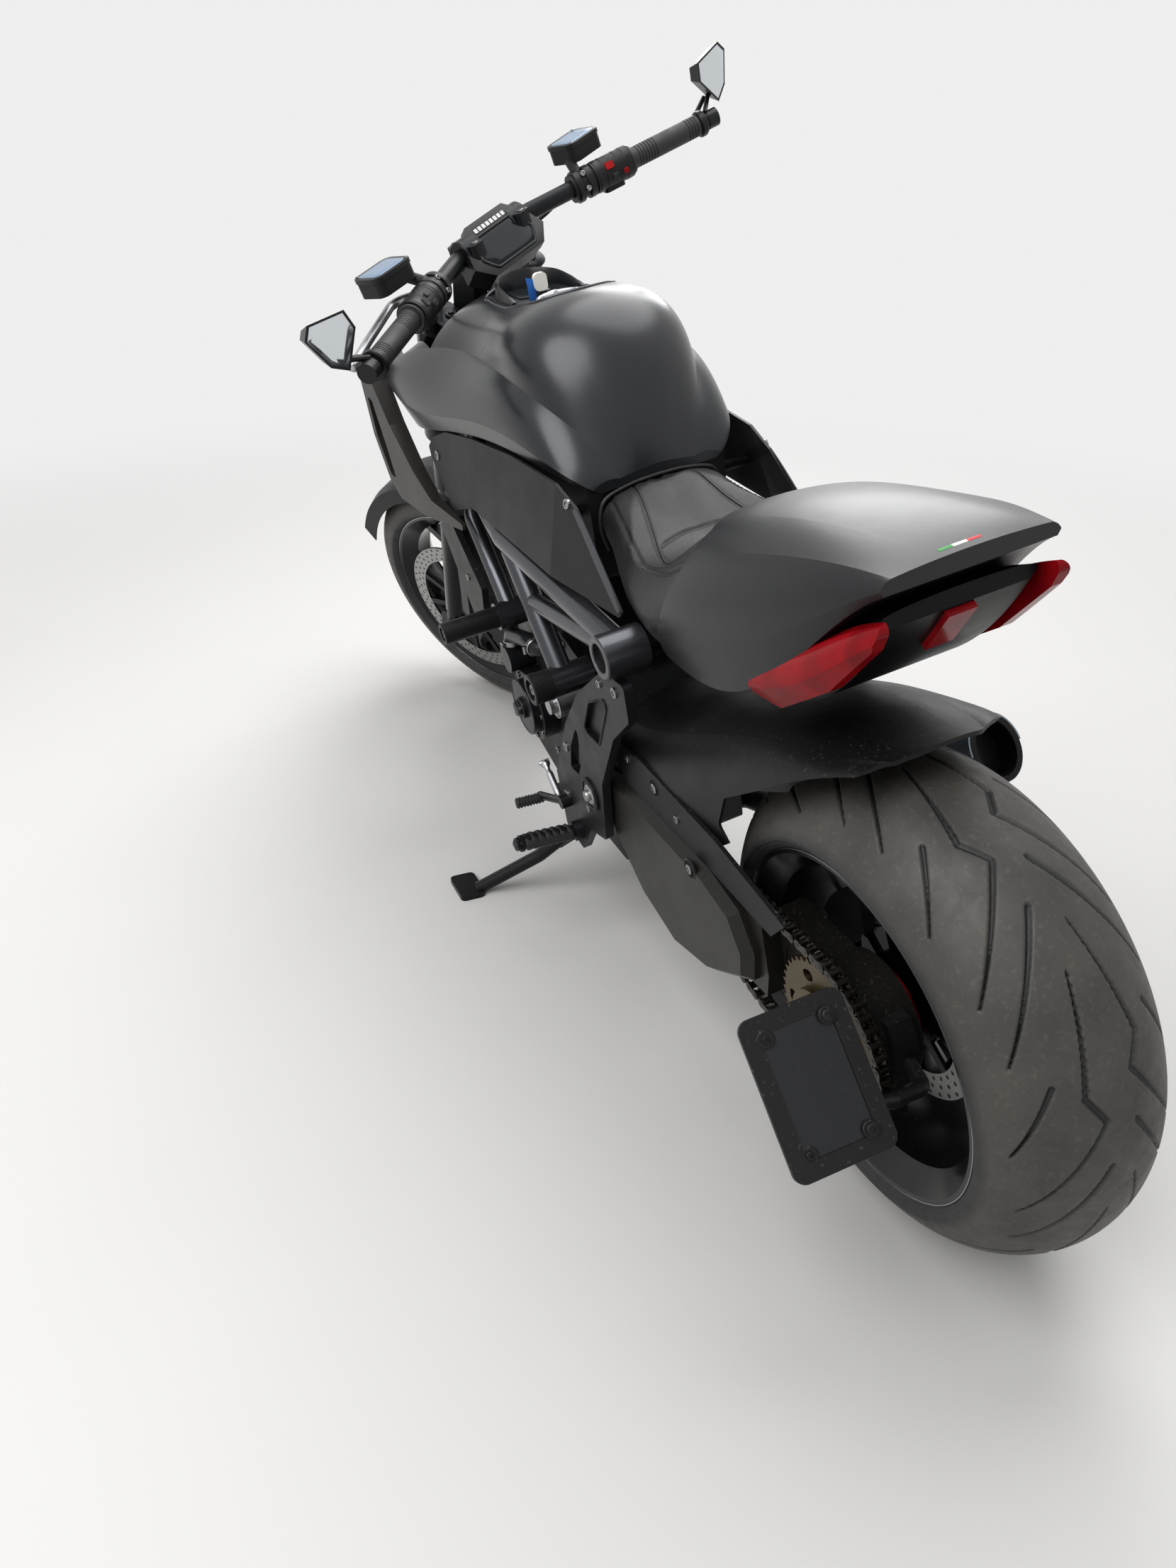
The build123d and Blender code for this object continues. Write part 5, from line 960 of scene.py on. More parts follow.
def sent_screws(body, node, rows, side):
    """Screw heads on a piece, sent onto it from the side and turned to face along its surface's normal."""
    rows = np.array(rows, float)
    points = np.stack([rows[:, 0], np.zeros(len(rows)), rows[:, 1]], axis=-1)
    places, normals = settled(node, body, points, (0, -side, 0))
    return joined([repeated(socket_screw(radius, 3.2), facing([normal]), [place])
                   for place, normal, radius in zip(places, normals, rows[:, 2])])


class CRUISER_OT_screws(bpy.types.Operator):
    """Screw heads on the engine, frame, covers and guards"""
    bl_idname = "cruiser.screws"
    bl_label = "Screws"

    def execute(self, context):
        parts = [sent_screws("chassis", node, rows, side) for node, rows in SIDE_SCREWS for side in (-1, 1)]
        parts += [sent_screws("chassis", node, rows, 1) for node, rows in LEFT_SCREWS]
        parts += [sent_screws("chassis", node, rows, -1) for node, rows in RIGHT_SCREWS]
        for table, side in ((COVER_SCREWS, 1), (RIGHT_COVER_SCREWS, -1)):
            parts += [ringed_screws((x, 0, z), ring, side * y, side, count, radius)
                      for x, z, ring, y, count, radius in table]
        places, normals = settled("heat_shield", "chassis", [(172, -213, 560), (240, -208, 520)],
                                  (0, 0, -1), 300)
        parts.append(repeated(socket_screw(5, 3), facing(normals), places))
        piece("screws", "chassis", joined(parts), *STEEL)
        out = unit(np.cross(PLATE_UP, PLATE_ACROSS))
        ears, bolts = [], []
        for x, radius in ((-36, 6.5), (36, 4.5)):
            for z in (-63, 63):
                place = np.array(PLATE_CENTRE) + unit(PLATE_ACROSS) * x + unit(PLATE_UP) * z
                ears.append(lathe([(0, 5.6), (9, 5.6), (10, 4.8), (10, 0.8), (0, 0.8)], place, out, 28))
                bolts.append(repeated(socket_screw(radius, 3), facing([out]), [place + out * 5.6]))
        piece("plate_ears", "chassis", joined(ears), *MOULDING)
        piece("plate_bolts", "chassis", joined(bolts), *NYLON)
        ends = []
        for side in (-1, 1):
            place, _ = settled("front_axle", "steering", [FRONT_AXLE], (0, -side, 0))
            ends.append(lathe([(0, 9), (10, 9), (12, 7.5), (12, -1), (0, -1)], place[0], (0, side, 0), 6))
        piece("front_axle_nuts", "steering", joined(ends), *STEEL)
        return {"FINISHED"}


def bent(points, radius, steps=7):
    """A line through corner points with every inner corner rounded to an arc: the arc's centre lies on
    the bisector, and its points turn from one leg's direction to the next."""
    points = np.asarray(points, float)
    back, ahead = unit(points[:-2] - points[1:-1]), unit(points[2:] - points[1:-1])
    half = np.arccos(np.clip((back * ahead).sum(axis=1), -1, 1))[:, None] / 2
    centre = points[1:-1] + unit(back + ahead) * radius / np.sin(half)
    start = unit(points[1:-1] + back * radius / np.tan(half) - centre)
    angle = ((np.pi - 2 * half) * np.linspace(0, 1, steps)[None])[..., None]
    arcs = centre[:, None] + radius * (start[:, None] * np.cos(angle) - back[:, None] * np.sin(angle))
    return np.concatenate([points[:1], arcs.reshape(-1, 3), points[-1:]])


def sleeve(inner, outer, y0, y1, place, axis, count=32, edge=1.2):
    """A short sleeve about an axis, its outer edges broken."""
    return washer([(inner, y0), (outer - edge, y0), (outer, y0 + edge), (outer, y1 - edge),
                   (outer - edge, y1), (inner, y1)], place, axis, count)


class CRUISER_OT_engine(bpy.types.Operator):
    """Cover edges, caps, hose clamps, the clutch line and the gear rod"""
    bl_idname = "cruiser.engine"
    bl_label = "Engine fittings"

    def execute(self, context):
        edges = [bead(radius - 1.2, abs(y) - 1.2, 2.2, (x, 0, z), (0, np.sign(y), 0), 72)
                 for x, z, radius, y in COVER_EDGES]
        x, z = CRANK_COVER
        middle = np.array((x, 172, z))
        points, faces = lathe([(0, 9), (13, 9), (16, 6), (17, -1), (0, -1)], middle, (0, 1, 0), 36)
        angle = np.linspace(0, 2 * np.pi, 36, endpoint=False)[:, None, None]
        lobe = 0.9 + 0.12 * np.cos(3 * angle)
        cap = (middle + (points - middle) * np.concatenate([lobe, 0 * angle + 1, lobe], axis=-1), faces)
        x, z = WATER_PUMP
        rim = sleeve(24, 29, 140, 141.5, (x, 0, z), (0, 1, 0))
        piece("cover_edges", "chassis", joined(edges + [cap, rim]), "Magnesium cover, black", "engine_cover")
        clamps = []
        for place, along, screwed in (((985, 150, 458), (0, 0, 1), (1, 0, 0)),
                                      ((868, 146, 494), (1, 0, 0), (0, 0, 1))):
            clamps += [sleeve(13.5, 16, -5, 5, place, along),
                       lathe([(0, -7), (3.4, -7), (3.4, 7), (0, 7)], np.add(place, (0, 18, 0)), screwed, 10)]
        piece("hose_clamps", "chassis", joined(clamps), *STEEL)
        hose = tube(bent(SLAVE_LINE, 36), 4.0, (0, 1, 0))
        piece("clutch_hose", "chassis", hose, "Rubber hose, black", "hose_black", sharp=60)
        x, z = CLUTCH
        banjo = [lathe([(0, 4), (6, 4), (7, 2), (7, -9), (0, -9)], (x, 164, z + 22), (0, 1, 0), 12),
                 tube([(x, 152, z + 18), (x, 152, z + 40), (x, 152, z + 46)], [5.6, 5.2, 4.4], (0, 1, 0)),
                 sleeve(16, 24.6, 157, 161, (x, 0, z), (0, 1, 0), 40)]
        piece("clutch_fittings", "chassis", joined(banjo), *ALLOY)
        start, end = np.array(GEAR_ROD, float)
        share = np.linspace(0, 1, 25)[:, None]
        girth = np.interp(share[:, 0], [0, 0.04, 0.1, 0.14, 0.18, 0.26, 0.27, 0.8, 0.81, 0.88, 0.92, 1],
                          [6, 8, 8, 4.6, 4.6, 4.6, 6.2, 6.2, 4.6, 4.6, 7, 5])
        rod = tube(start + (end - start) * share, girth, (0, 1, 0), 14)
        ball = lathe([(0, 8), (3.5, 8), (4.5, 6), (4.5, -10), (0, -10)], start + (0, 2, 0), (0, 1, 0), 12)
        piece("gear_rod", "chassis", joined([rod, ball]), *ALLOY)
        ends, well_shades, bolts = [], [], []
        for x, z, radius, y in TUBE_ENDS:
            bore, place = radius * 0.68, (x, y, z)
            ends.append(mirrored(washer([(bore, -4), (bore, 7.4), (bore + 1, 8.6), (radius - 1.4, 8.6),
                                         (radius + 0.3, 6.8), (radius + 0.3, -4)], place, (0, 1, 0), 40)))
            # painted shade: a near-black disc on the floor of each tube end
            well_shades.append(mirrored(lathe([(0, 0.4), (bore + 0.5, 0.4), (bore + 0.5, -1), (0, -1)],
                                        place, (0, 1, 0), 32)))
            bolts.append(mirrored(lathe([(0, 3), (4.2, 3), (4.4, 6), (8, 6), (9, 5), (9, 0), (0, 0)],
                                        place, (0, 1, 0), 6 if radius < 20 else 18)))
        piece("tube_rims", "chassis", joined(ends[:1]), "Steel tube, gunmetal lacquer", "frame_tube")
        piece("slider_rims", "chassis", joined(ends[1:]), *NYLON)
        piece("slider_bolts", "chassis", joined(bolts[1:]), *STEEL)
        piece("tube_well_shade", "chassis", joined(well_shades), "Unpainted bore, in shadow", "moulded_black")
        return {"FINISHED"}


class CRUISER_OT_frame_trim(bpy.types.Operator):
    """Lips of the side plates, the swingarm's bolt wells, the grey trim strips and the stand's spring"""
    bl_idname = "cruiser.frame_trim"
    bl_label = "Frame trim"

    def execute(self, context):
        corners = np.array([(x, 190.2, z) for x, z in POCKET], float)
        loop = np.concatenate([corners, corners[:1]])
        loop = np.concatenate([(loop[:1] + loop[1:2]) / 2, loop[1:], (loop[:1] + loop[1:2]) / 2])
        x, z = ARM_PIVOT
        lips = [mirrored(tube(bent(loop, 9), 1.9, (0, 1, 0), 8)),
                mirrored(bead(25, 193, 2.0, (x, 0, z), (0, 1, 0), 48))]
        piece("plate_lips", "chassis", joined(lips), "Cast aluminium, black powder coat", "cast_frame",
              sharp=60)
        nut = lathe([(0, 9), (8, 9), (9, 7), (9, 3), (15, 3), (17, 1), (17, -1), (0, -1)], (x, 193, z),
                    (0, 1, 0), 24)
        piece("pivot_caps", "chassis", mirrored(nut), *STEEL)
        found = [settled(node, "chassis", [(x, 0, z)], (0, -1, 0)) for node, x, z in ARM_WELLS]
        places, normals = (np.concatenate(one) for one in zip(*found))
        rims, well_shades, bolts = [], [], []
        for place, normal in zip(places, normals):
            rims.append(washer([(13, 0.8), (14.5, 1.2), (16.5, -0.2), (16.5, -2), (13, -2)], place, normal,
                               36))
            # painted shade: a near-black disc on the floor of each bolt well
            well_shades.append(lathe([(0, 0.35), (13.2, 0.35), (13.2, -1), (0, -1)], place, normal, 28))
            bolts.append(repeated(socket_screw(7.5, 3.0), facing([normal]), [place]))
        piece("arm_rims", "chassis", joined(rims), "Cast aluminium, satin black", "swingarm_paint")
        piece("arm_well_shade", "chassis", joined(well_shades), "Unpainted bore, in shadow", "swingarm_paint")
        piece("arm_bolts", "chassis", joined(bolts), *STEEL)
        self.strips()
        self.spring()
        self.pegs()
        return {"FINISHED"}

    def strips(self):
        """A flat strip along each panel's rear edge, a little proud of the panel."""
        edge = smooth([(426, 0, 731), (455, 0, 757), (486, 0, 783), (520, 0, 812), (549, 0, 834)], 6)
        made = []
        for side in (-1, 1):
            places, normals = settled("side_panels", "chassis", edge, (0, -side, 0))
            taper = 0.35 + 0.65 * np.sin(np.pi * np.linspace(0.04, 0.96, len(edge))) ** 0.5
            strip = [(-6, -0.6), (6, -0.6), (6, 0.7), (5, 1.2), (-5, 1.2), (-6, 0.7)]
            made.append(capped(*carried(strip, places, normals, taper)))
        piece("panel_strips", "chassis", joined(made), EXTRA["trim"], "moulded_black")

    def spring(self):
        """The stand's spring: a helix beside the leg, with a hook at each end."""
        pivot, foot = np.array(STAND, float)
        along = unit(foot - pivot)
        side = unit(np.cross(along, (1, 0, 0)))
        other = np.cross(along, side)
        turn = np.linspace(0, 16 * 2 * np.pi, 16 * 12 + 1)[:, None]
        place = pivot + side * 17 + along * (6 + turn / turn[-1] * 62)
        helix = place + 5.2 * (np.cos(turn) * side + np.sin(turn) * other)
        hooks = [tube(bent([pivot + side * 17 + along * end, pivot + side * 17 + along * (end + step),
                            pivot + side * 5 + along * (end + 1.6 * step)], 3), 1.3, other)
                 for end, step in ((6, -8), (68, 12))]
        coil = tube(helix, 1.3, along, 6)
        piece("stand_spring", "side_stand", joined([coil] + hooks), EXTRA["spring"], "stand_black")

    def pegs(self):
        """Wedge-shaped rubbers with a wavy top on both pegs, and ribbed sleeves on both pedals."""
        root, tip = np.array(PEG, float)
        share = np.linspace(0, 1, 61)
        path = root + (tip - root) * share[:, None]
        outline = ((-15, 4), (-13, 8), (0, 9), (13, 8), (15, 4), (14, -6), (9, -10), (-9, -10), (-14, -6))
        width = np.interp(share, [0, 0.04, 0.75, 0.96, 1], [0.7, 1.0, 1.0, 0.6, 0.4])
        points, faces = carried(outline, path, (0, 0, 1), width)
        wave = 2.4 * np.abs(np.sin(share * np.pi * 8)) * (share > 0.05) * (share < 0.93)
        points[:, :5, 2] += wave[:, None]
        height = np.linspace(0, 1, 49)
        ribs = 9.2 + 0.9 * np.sign(np.sin(height * np.pi * 18))
        ribs[[0, -1]] = 0
        ribbed = lathe(np.stack([ribs, 2 + height * 50], axis=-1), (806, 202, 240), (4, 50, 4), 20)
        rubbers = [mirrored(capped(points, faces)), mirrored(ribbed)]
        piece("foot_rubbers", "chassis", joined(rubbers), EXTRA["grip"], "cast_frame", sharp=40)


# Bodywork details. The console's edge on the left, from above, and the ends of the cowl's bar

RIM_LINE = ((1062, 0), (1034, 60), (1000, 67), (950, 70), (900, 72), (850, 67), (800, 58), (768, 0))
STRIPE_RIGHT, STRIPE_LEFT = -18.2, 31.0


class CRUISER_OT_body(bpy.types.Operator):
    """The three-colour bar, the console's rim and hood, the filler cap and the key with its tags"""
    bl_idname = "cruiser.body"
    bl_label = "Body details"

    def execute(self, context):
        self.stripe(context.scene.cruiser_finish.stripe / MM)
        self.console()
        self.key()
        return {"FINISHED"}

    def stripe(self, width):
        """A thin bar across the cowl's tail in three even lengths, its outer ends rounded: the half width
        falls off there as a circle does."""
        for name, low, high in (("green", 14.6, STRIPE_LEFT), ("white", -1.8, 14.6),
                                ("red", STRIPE_RIGHT, -1.8)):
            y = np.linspace(low, high, 19)
            places, normals = settled("seat_cowl", "chassis", [(-54, one, 900) for one in y], (0, 0, -1), 200)
            past = np.maximum(y - STRIPE_LEFT, STRIPE_RIGHT - y) + width / 2
            away = np.maximum(past, 0) / (width / 2)
            half = np.sqrt(np.maximum(1 - away ** 2, 0.02)) * width / 2
            profile = [(-1, -0.5), (1, -0.5), (1, 0.12), (0.8, 0.2), (-0.8, 0.2), (-1, 0.12)]
            bar, faces = carried(profile, places, normals)
            middle = places[:, None]
            side = unit(np.cross(unit(np.gradient(places, axis=0)), normals))[:, None]
            reach = ((bar - middle) * side).sum(axis=-1, keepdims=True)
            bar = bar + side * reach * (half[:, None, None] - 1)
            piece("stripe_" + name, "chassis", capped(bar, faces), EXTRA[name], "cowl_paint")

    def console(self):
        """A rim laid along the console's edge, and a hood round its front that sinks towards the rear."""
        half = np.array(RIM_LINE, float)
        outline = np.concatenate([half, (half * (1, -1))[-2:0:-1]])
        closed = np.concatenate([outline[-2:], outline, outline[:3]])
        line = smooth(np.concatenate([closed, np.zeros((len(closed), 1))], axis=1), 6)[12:-12]
        places, normals = settled("tank", "chassis", line * (1, 1, 0) + (0, 0, 1000), (0, 0, -1), 200)
        rim = tube(places + normals * 0.4, 2.1, normals, 8)
        piece("console_rim", "chassis", rim, "Steel tube, gunmetal lacquer", "display_glass", sharp=60)
        route = smooth([(915, 58, 1024), (960, 57, 1024), (1005, 50, 1024), (1032, 26, 1024), (1038, 0, 1024),
                        (1032, -26, 1024), (1005, -50, 1024), (960, -57, 1024), (915, -58, 1024)], 8)
        share = np.linspace(0, 1, len(route))
        tall = 6 + 22 * np.sin(np.pi * share) ** 0.8
        profile = [(-5, 0), (5, 0), (3.2, 0), (0.5, 0), (-3.5, 0)]
        wall, faces = carried(profile, route, (0, 0, 1))
        wall[..., 2] = 1023.6 + np.array([0, 0, 0.86, 1.0, 0.86]) * tall[:, None]
        piece("console_hood", "chassis", capped(wall, faces), *HOUSING, sharp=50)
        small = plate_part([(-36, -34), (-26, -42), (26, -42), (36, -34), (34, 22), (24, 32), (-24, 32),
                            (-34, 22)], (985, 0, 1026.5), (0, -1, 0), (1, 0, 0), 3.5)
        piece("tank_display", "chassis", small, EXTRA["screen"], "display_glass")
        ring = lathe([(0, 1036.0), (38.5, 1036.0), (40.5, 1037.4), (43.0, 1036.6), (44.4, 1034.4),
                      (44.4, 1030)], (FILLER_X, 0, 0), (0, 0, 1), 56)
        angle = np.arange(7) * 2 * np.pi / 7
        places = np.stack([FILLER_X + 34 * np.cos(angle), 34 * np.sin(angle), np.full(7, 1036.0)], axis=-1)
        heads = repeated(socket_screw(3.2, 2.2), facing(np.tile([0, 0, 1.0], (7, 1)), (1, 0, 0)), places)
        flap = plate_part(rounded_box(26, 40, 8), (FILLER_X, 0, 1038.2), (0, 1, 0), (-1, 0, 0), 2.4)
        piece("filler_cap", "chassis", joined([ring, heads, flap]), *ALLOY)

    def key(self):
        """The lock barrel, the key's head, and two tags bent by hand."""
        barrel = lathe([(0, 12), (11, 12), (14, 10), (15, 0), (15, -2), (0, -2)], (933, 6, 1024),
                       (0, 0, 1), 32)
        piece("lock_barrel", "chassis", barrel, *HOUSING)
        blade = plate_part(rounded_box(21, 26, 7), (928.5, 8, 1048), (0, 1, 0), (0, 0, 1), 9)
        piece("key_head", "chassis", blade, EXTRA["tag"], "display_glass")
        for name, material, corners in (
                ("key_tape", "tape", ((927, 29, 1057), (926, 6, 1050), (924, 12, 1010), (925, 30, 1014))),
                ("key_tag", "tag", ((922, -12, 1032), (921, 6, 1030), (912, 8, 1025), (911, -18, 1025)))):
            top_a, top_b, low_b, low_a = np.array(corners, float)
            u, v = np.linspace(0, 1, 13)[:, None, None], np.linspace(0, 1, 9)[None, :, None]
            sheet = (top_a * (1 - v) + top_b * v) * (1 - u) + (low_a * (1 - v) + low_b * v) * u
            out = unit(np.cross(top_b - top_a, low_a - top_a))
            out = out * np.sign(out @ np.array((-1, 0, 0.4)))
            bow = 3.0 * np.sin(np.pi * u) * (0.5 + 0.5 * np.cos(np.pi * v)) + 1.5 * v * (1 - u)
            sheet = sheet + out * bow
            closed = np.concatenate([sheet, (sheet - out * 0.4)[:, ::-1]], axis=1)
            piece(name, "chassis", capped(closed, grid_faces(13, 18, around=True)), EXTRA[material],
                  "display_glass", sharp=60)


def rounded_box(width, height, corner):
    """A rectangle's outline with rounded corners, about its middle: each corner is a quarter circle."""
    quarters = []
    for number, (across, upward) in enumerate(((1, 1), (-1, 1), (-1, -1), (1, -1))):
        angle = (number + np.linspace(0, 1, 5)) * np.pi / 2
        quarters.append(np.stack([across * (width / 2 - corner) + corner * np.cos(angle),
                                  upward * (height / 2 - corner) + corner * np.sin(angle)], axis=-1))
    return np.concatenate(quarters)


def plate_part(outline, origin, across, upward, thick):
    """A flat plate: its outline shrinks to its middle in rings on the front, and is set back by its
    thickness for the edge and the back."""
    outline = np.asarray(outline, float)
    middle = outline.mean(axis=0)
    across, upward = unit(across), unit(upward)
    rings = []
    for share, height in ((0.0, -thick), (1.0, -thick), (1.0, -0.5), (0.97, 0.0), (0.6, 0.0), (0.0, 0.0)):
        flat = middle + (outline - middle) * share
        rings.append(flat[:, :1] * across + flat[:, 1:] * upward + np.cross(across, upward) * height)
    return np.stack(rings) + np.asarray(origin, float), grid_faces(len(rings), len(outline), around=True)


# Seat: half widths and heights of the crease along it, the welts in plan with the slope of their sides,
# the front lip, and the cross seam's front, bow and half width

SEAT_CREASE = ((597, 80, 818), (500, 100, 795), (420, 118, 784), (331, 124, 810), (250, 118, 850))
SEAT_WELTS = ((596, 43), (570, 48), (540, 54), (500, 65), (446, 83), (400, 98), (358, 110))
SEAT_LIP = ((596, 92, 742), (598, 98, 775), (600, 94, 800), (600, 80, 817), (600, 40, 826), (600, 0, 828))
WELT_SLOPE = 0.94
CROSS_SEAM = (491, -0.0053, 73)
# In metres, the cell of the seat's grid and how far its pads swell, and the frames that the air is given
SEAT_CELL, SWELL, SWELL_FRAMES = 0.0045, 0.004, 14


def per_vertex(mesh, kind):
    """The place or the normal of every vertex."""
    values = np.zeros(len(mesh.vertices) * 3)
    mesh.vertices.foreach_get(kind, values)
    return values.reshape(-1, 3)


def gentle_swell(thing, reach):
    """Cloth with air pressed into it, stopped at a given reach: each point moves from its start towards
    the simulated place, no further than the reach."""
    start = per_vertex(thing.data, "co")
    cloth = thing.modifiers.new("swell", "CLOTH")
    cloth.settings.use_pressure = True
    cloth.settings.uniform_pressure_force = 4
    cloth.settings.effector_weights.gravity = 0
    scene = bpy.context.scene
    for step in range(1, SWELL_FRAMES + 1):
        scene.frame_set(step)
    shape = thing.evaluated_get(bpy.context.evaluated_depsgraph_get())
    move = per_vertex(shape.data, "co") - start
    thing.modifiers.remove(cloth)
    scene.frame_set(1)
    size = np.linalg.norm(move, axis=1, keepdims=True)
    return start + move * np.minimum(1, reach / np.maximum(size, 1e-9))


def applied(thing, kind, **settings):
    """Adds a modifier with its settings and applies it."""
    bpy.context.view_layer.objects.active = thing
    modifier = thing.modifiers.new(kind.lower(), kind)
    for key, value in settings.items():
        setattr(modifier, key, value)
    bpy.ops.object.modifier_apply(modifier=modifier.name)


class CRUISER_OT_seat(bpy.types.Operator):
    """The padded seat with its sewn welts, cross seam, side creases and stitches"""
    bl_idname = "cruiser.seat"
    bl_label = "Seat"

    def execute(self, context):
        seat = bpy.data.objects.new("seat_cover", NODES["seat"].data.copy())
        context.scene.collection.objects.link(seat)
        work = bmesh.new()
        work.from_mesh(seat.data)
        bmesh.ops.remove_doubles(work, verts=work.verts, dist=1e-5)
        work.to_mesh(seat.data)
        work.free()
        applied(seat, "REMESH", mode="VOXEL", voxel_size=SEAT_CELL)
        applied(seat, "SMOOTH", iterations=6)
        seat.data.vertices.foreach_set("co", gentle_swell(seat, SWELL).astype(np.float32).ravel())
        applied(seat, "SUBSURF", levels=1, render_levels=1)
        points, normals = per_vertex(seat.data, "co"), per_vertex(seat.data, "normal")
        turn, origin = CHASSIS_FRAME
        x, y, z = ((points - origin) @ turn / MM).T
        crease = np.array(SEAT_CREASE, float)[::-1].T
        line_y, line_z = np.interp(x, crease[0], crease[1]), np.interp(x, crease[0], crease[2])
        upward = (normals @ turn)[:, 2] > 0.3
        near = np.exp(-(np.hypot(np.abs(y) - line_y, z - line_z) / 3.5) ** 2)
        welts = np.array(SEAT_WELTS, float)[::-1].T
        to_welt = (np.abs(y) - np.interp(x, welts[0], welts[1])) * WELT_SLOPE
        near = np.maximum(near, np.exp(-(to_welt / 2.6) ** 2) * upward)
        front, bow, reach = CROSS_SEAM
        to_cross = x - front - bow * y ** 2
        near = np.maximum(near, np.exp(-(to_cross / 2.8) ** 2) * upward * (np.abs(y) < reach))
        crown = 2.2 * np.exp(-((np.abs(y) - 26) / 22) ** 2) * upward * (x > 380)
        points = points + normals * ((crown - near * 2.8) * MM)[:, None]
        seat.data.vertices.foreach_set("co", points.astype(np.float32).ravel())
        seat.data.update()
        # painted shade: the seam_shade attribute darkens the leather where the seams and creases are pressed in
        seam_shade = seat.data.attributes.new("seam_shade", "FLOAT", "POINT")
        seam_shade.data.foreach_set("value", (near ** 3).astype(np.float32))
        seat.data.polygons.foreach_set("use_smooth", np.ones(len(seat.data.polygons), bool))
        seat.data.materials.clear()
        seat.data.materials.append(bpy.data.materials[EXTRA["leather"]])
        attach(seat, "chassis")
        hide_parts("seat")
        sizes = context.scene.cruiser_sizes
        self.welts(seat, sizes.welt / MM / 2)
        self.stitches(seat, sizes.stitch / MM)
        return {"FINISHED"}

    def welts(self, seat, radius):
        """Two thin rolls side by side along each long seam, one along the cross seam, and one round the
        front lip. Each is a tube on points sent down onto the leather."""
        plan = smooth([(x, y, 0) for x, y in SEAT_WELTS], 14)
        made = []
        for side in (-1, 1):
            for shift in (-0.95, 0.95):
                points = plan * (1, side, 0) + (0, shift * radius * side * 1.2, 800)
                places, normals = settled(seat, "chassis", points, (0, 0, -1), 200)
                made.append(tube(places - normals * radius * 0.25, radius * 0.8, normals, 10))
        front, bow, reach = CROSS_SEAM
        y = np.linspace(-reach + 1, reach - 1, 60)
        points = np.stack([front + bow * y ** 2, y, 0 * y + 800], axis=-1)
        places, normals = settled(seat, "chassis", points, (0, 0, -1), 200)
        made.append(tube(places - normals * radius * 0.45, radius * 0.62, normals, 10))
        half = smooth(SEAT_LIP, 8)
        lip = np.concatenate([half, (half * (1, -1, 1))[-2::-1]])
        made.append(tube(lip, 3.4, (1, 0, 0), 10))
        for one, name in zip((joined(made[:-1]), made[-1]), ("seat_welts", "seat_lip")):
            piece(name, "chassis", one, EXTRA["leather"], "seat_leather", sharp=60,
                  values={"seam_shade": np.zeros(len(np.asarray(one[0]).reshape(-1, 3)))})

    def stitches(self, seat, length):
        """Two rows of thread beside each side crease: capsules laid on the leather, with gaps as long as
        three fifths of a stitch."""
        crease = np.array(SEAT_CREASE, float)[::-1]
        x = np.arange(262, 588, length * 1.6)
        rows = []
        for side in (-1, 1):
            for shift in (-5.5, 5.5):
                y = (np.interp(x, crease[:, 0], crease[:, 1]) + shift * 0.7) * side
                z = np.interp(x, crease[:, 0], crease[:, 2]) - shift * 0.8
                rows.append(np.stack([x, y, z], axis=-1))
        tree = surface_of(seat)
        turn, origin = CHASSIS_FRAME
        places, normals, runs = [], [], []
        for row in rows:
            found = [tree.find_nearest(point) for point in parked(row, "chassis").tolist()]
            on = (np.array([hit[0] for hit in found]) - origin) @ turn / MM
            away = np.array([hit[1] for hit in found]) @ turn
            places.append(on[:-1])
            normals.append(away[:-1])
            runs.append(on[1:] - on[:-1])
        places, normals, runs = (np.concatenate(one) for one in (places, normals, runs))
        runs = unit(runs)
        side = unit(np.cross(normals, runs))
        turns = np.stack([runs, side, np.cross(runs, side)], axis=-1)
        angle = np.linspace(0, 2 * np.pi, 6, endpoint=False)
        station = np.array([-0.5, -0.35, 0.35, 0.5])[:, None] * length
        girth = np.array([0.15, 0.65, 0.65, 0.15])[:, None]
        thread = np.stack([station + 0 * angle, girth * np.cos(angle), girth * np.sin(angle) + 0.25], axis=-1)
        made = repeated(capped(thread, grid_faces(4, 6, around=True)), turns, places)
        piece("seat_stitches", "chassis", made, EXTRA["thread"], "seat_leather")


# Bars, dial and lamps. The lever's corners are offsets from the bar at half widths; the fluid cup is
# given by the middle of its top and its size; the dial and its screen are outlines about a place

LEVER = ((190, (20, 6, 2)), (190, (66, 30, 0)), (330, (72, 0, -6)), (398, (62, 0, -8)))
CUP = ((1129, 234, 1150), (62, 76))
DIAL = ((-84, 0), (-70, 36), (-44, 62), (44, 62), (70, 36), (84, 0), (58, -26), (-58, -26))
DIAL_PLACE, DIAL_UP, DIAL_OUT = (1105.2, 0, 1072.6), (0.6, 0, 0.8), (-0.8, 0, 0.6)
SCREEN = ((-62, 4), (-54, 30), (-40, 40), (40, 40), (54, 30), (62, 4), (46, -18), (-46, -18))


def ringed(corners, radius, thick, upward):
    """A bead along a closed loop of corners, each rounded, that begins and ends between two of them."""
    start = (corners[:1] + corners[-1:]) / 2
    return tube(bent(np.concatenate([start, corners, start]), radius), thick, upward, 10)


def bar_point(y):
    """The middle of the bar's left side at a half width."""
    start, end = np.array(BAR_START, float), np.array(BAR_END, float)
    return start + (end - start) * (y - start[1]) / (end[1] - start[1])


BAR_LINE = unit(bar_point(400) - bar_point(100))


def square_to(line, aim):
    """The direction square to a line that lies nearest to another."""
    return unit(aim - line * (aim @ line))


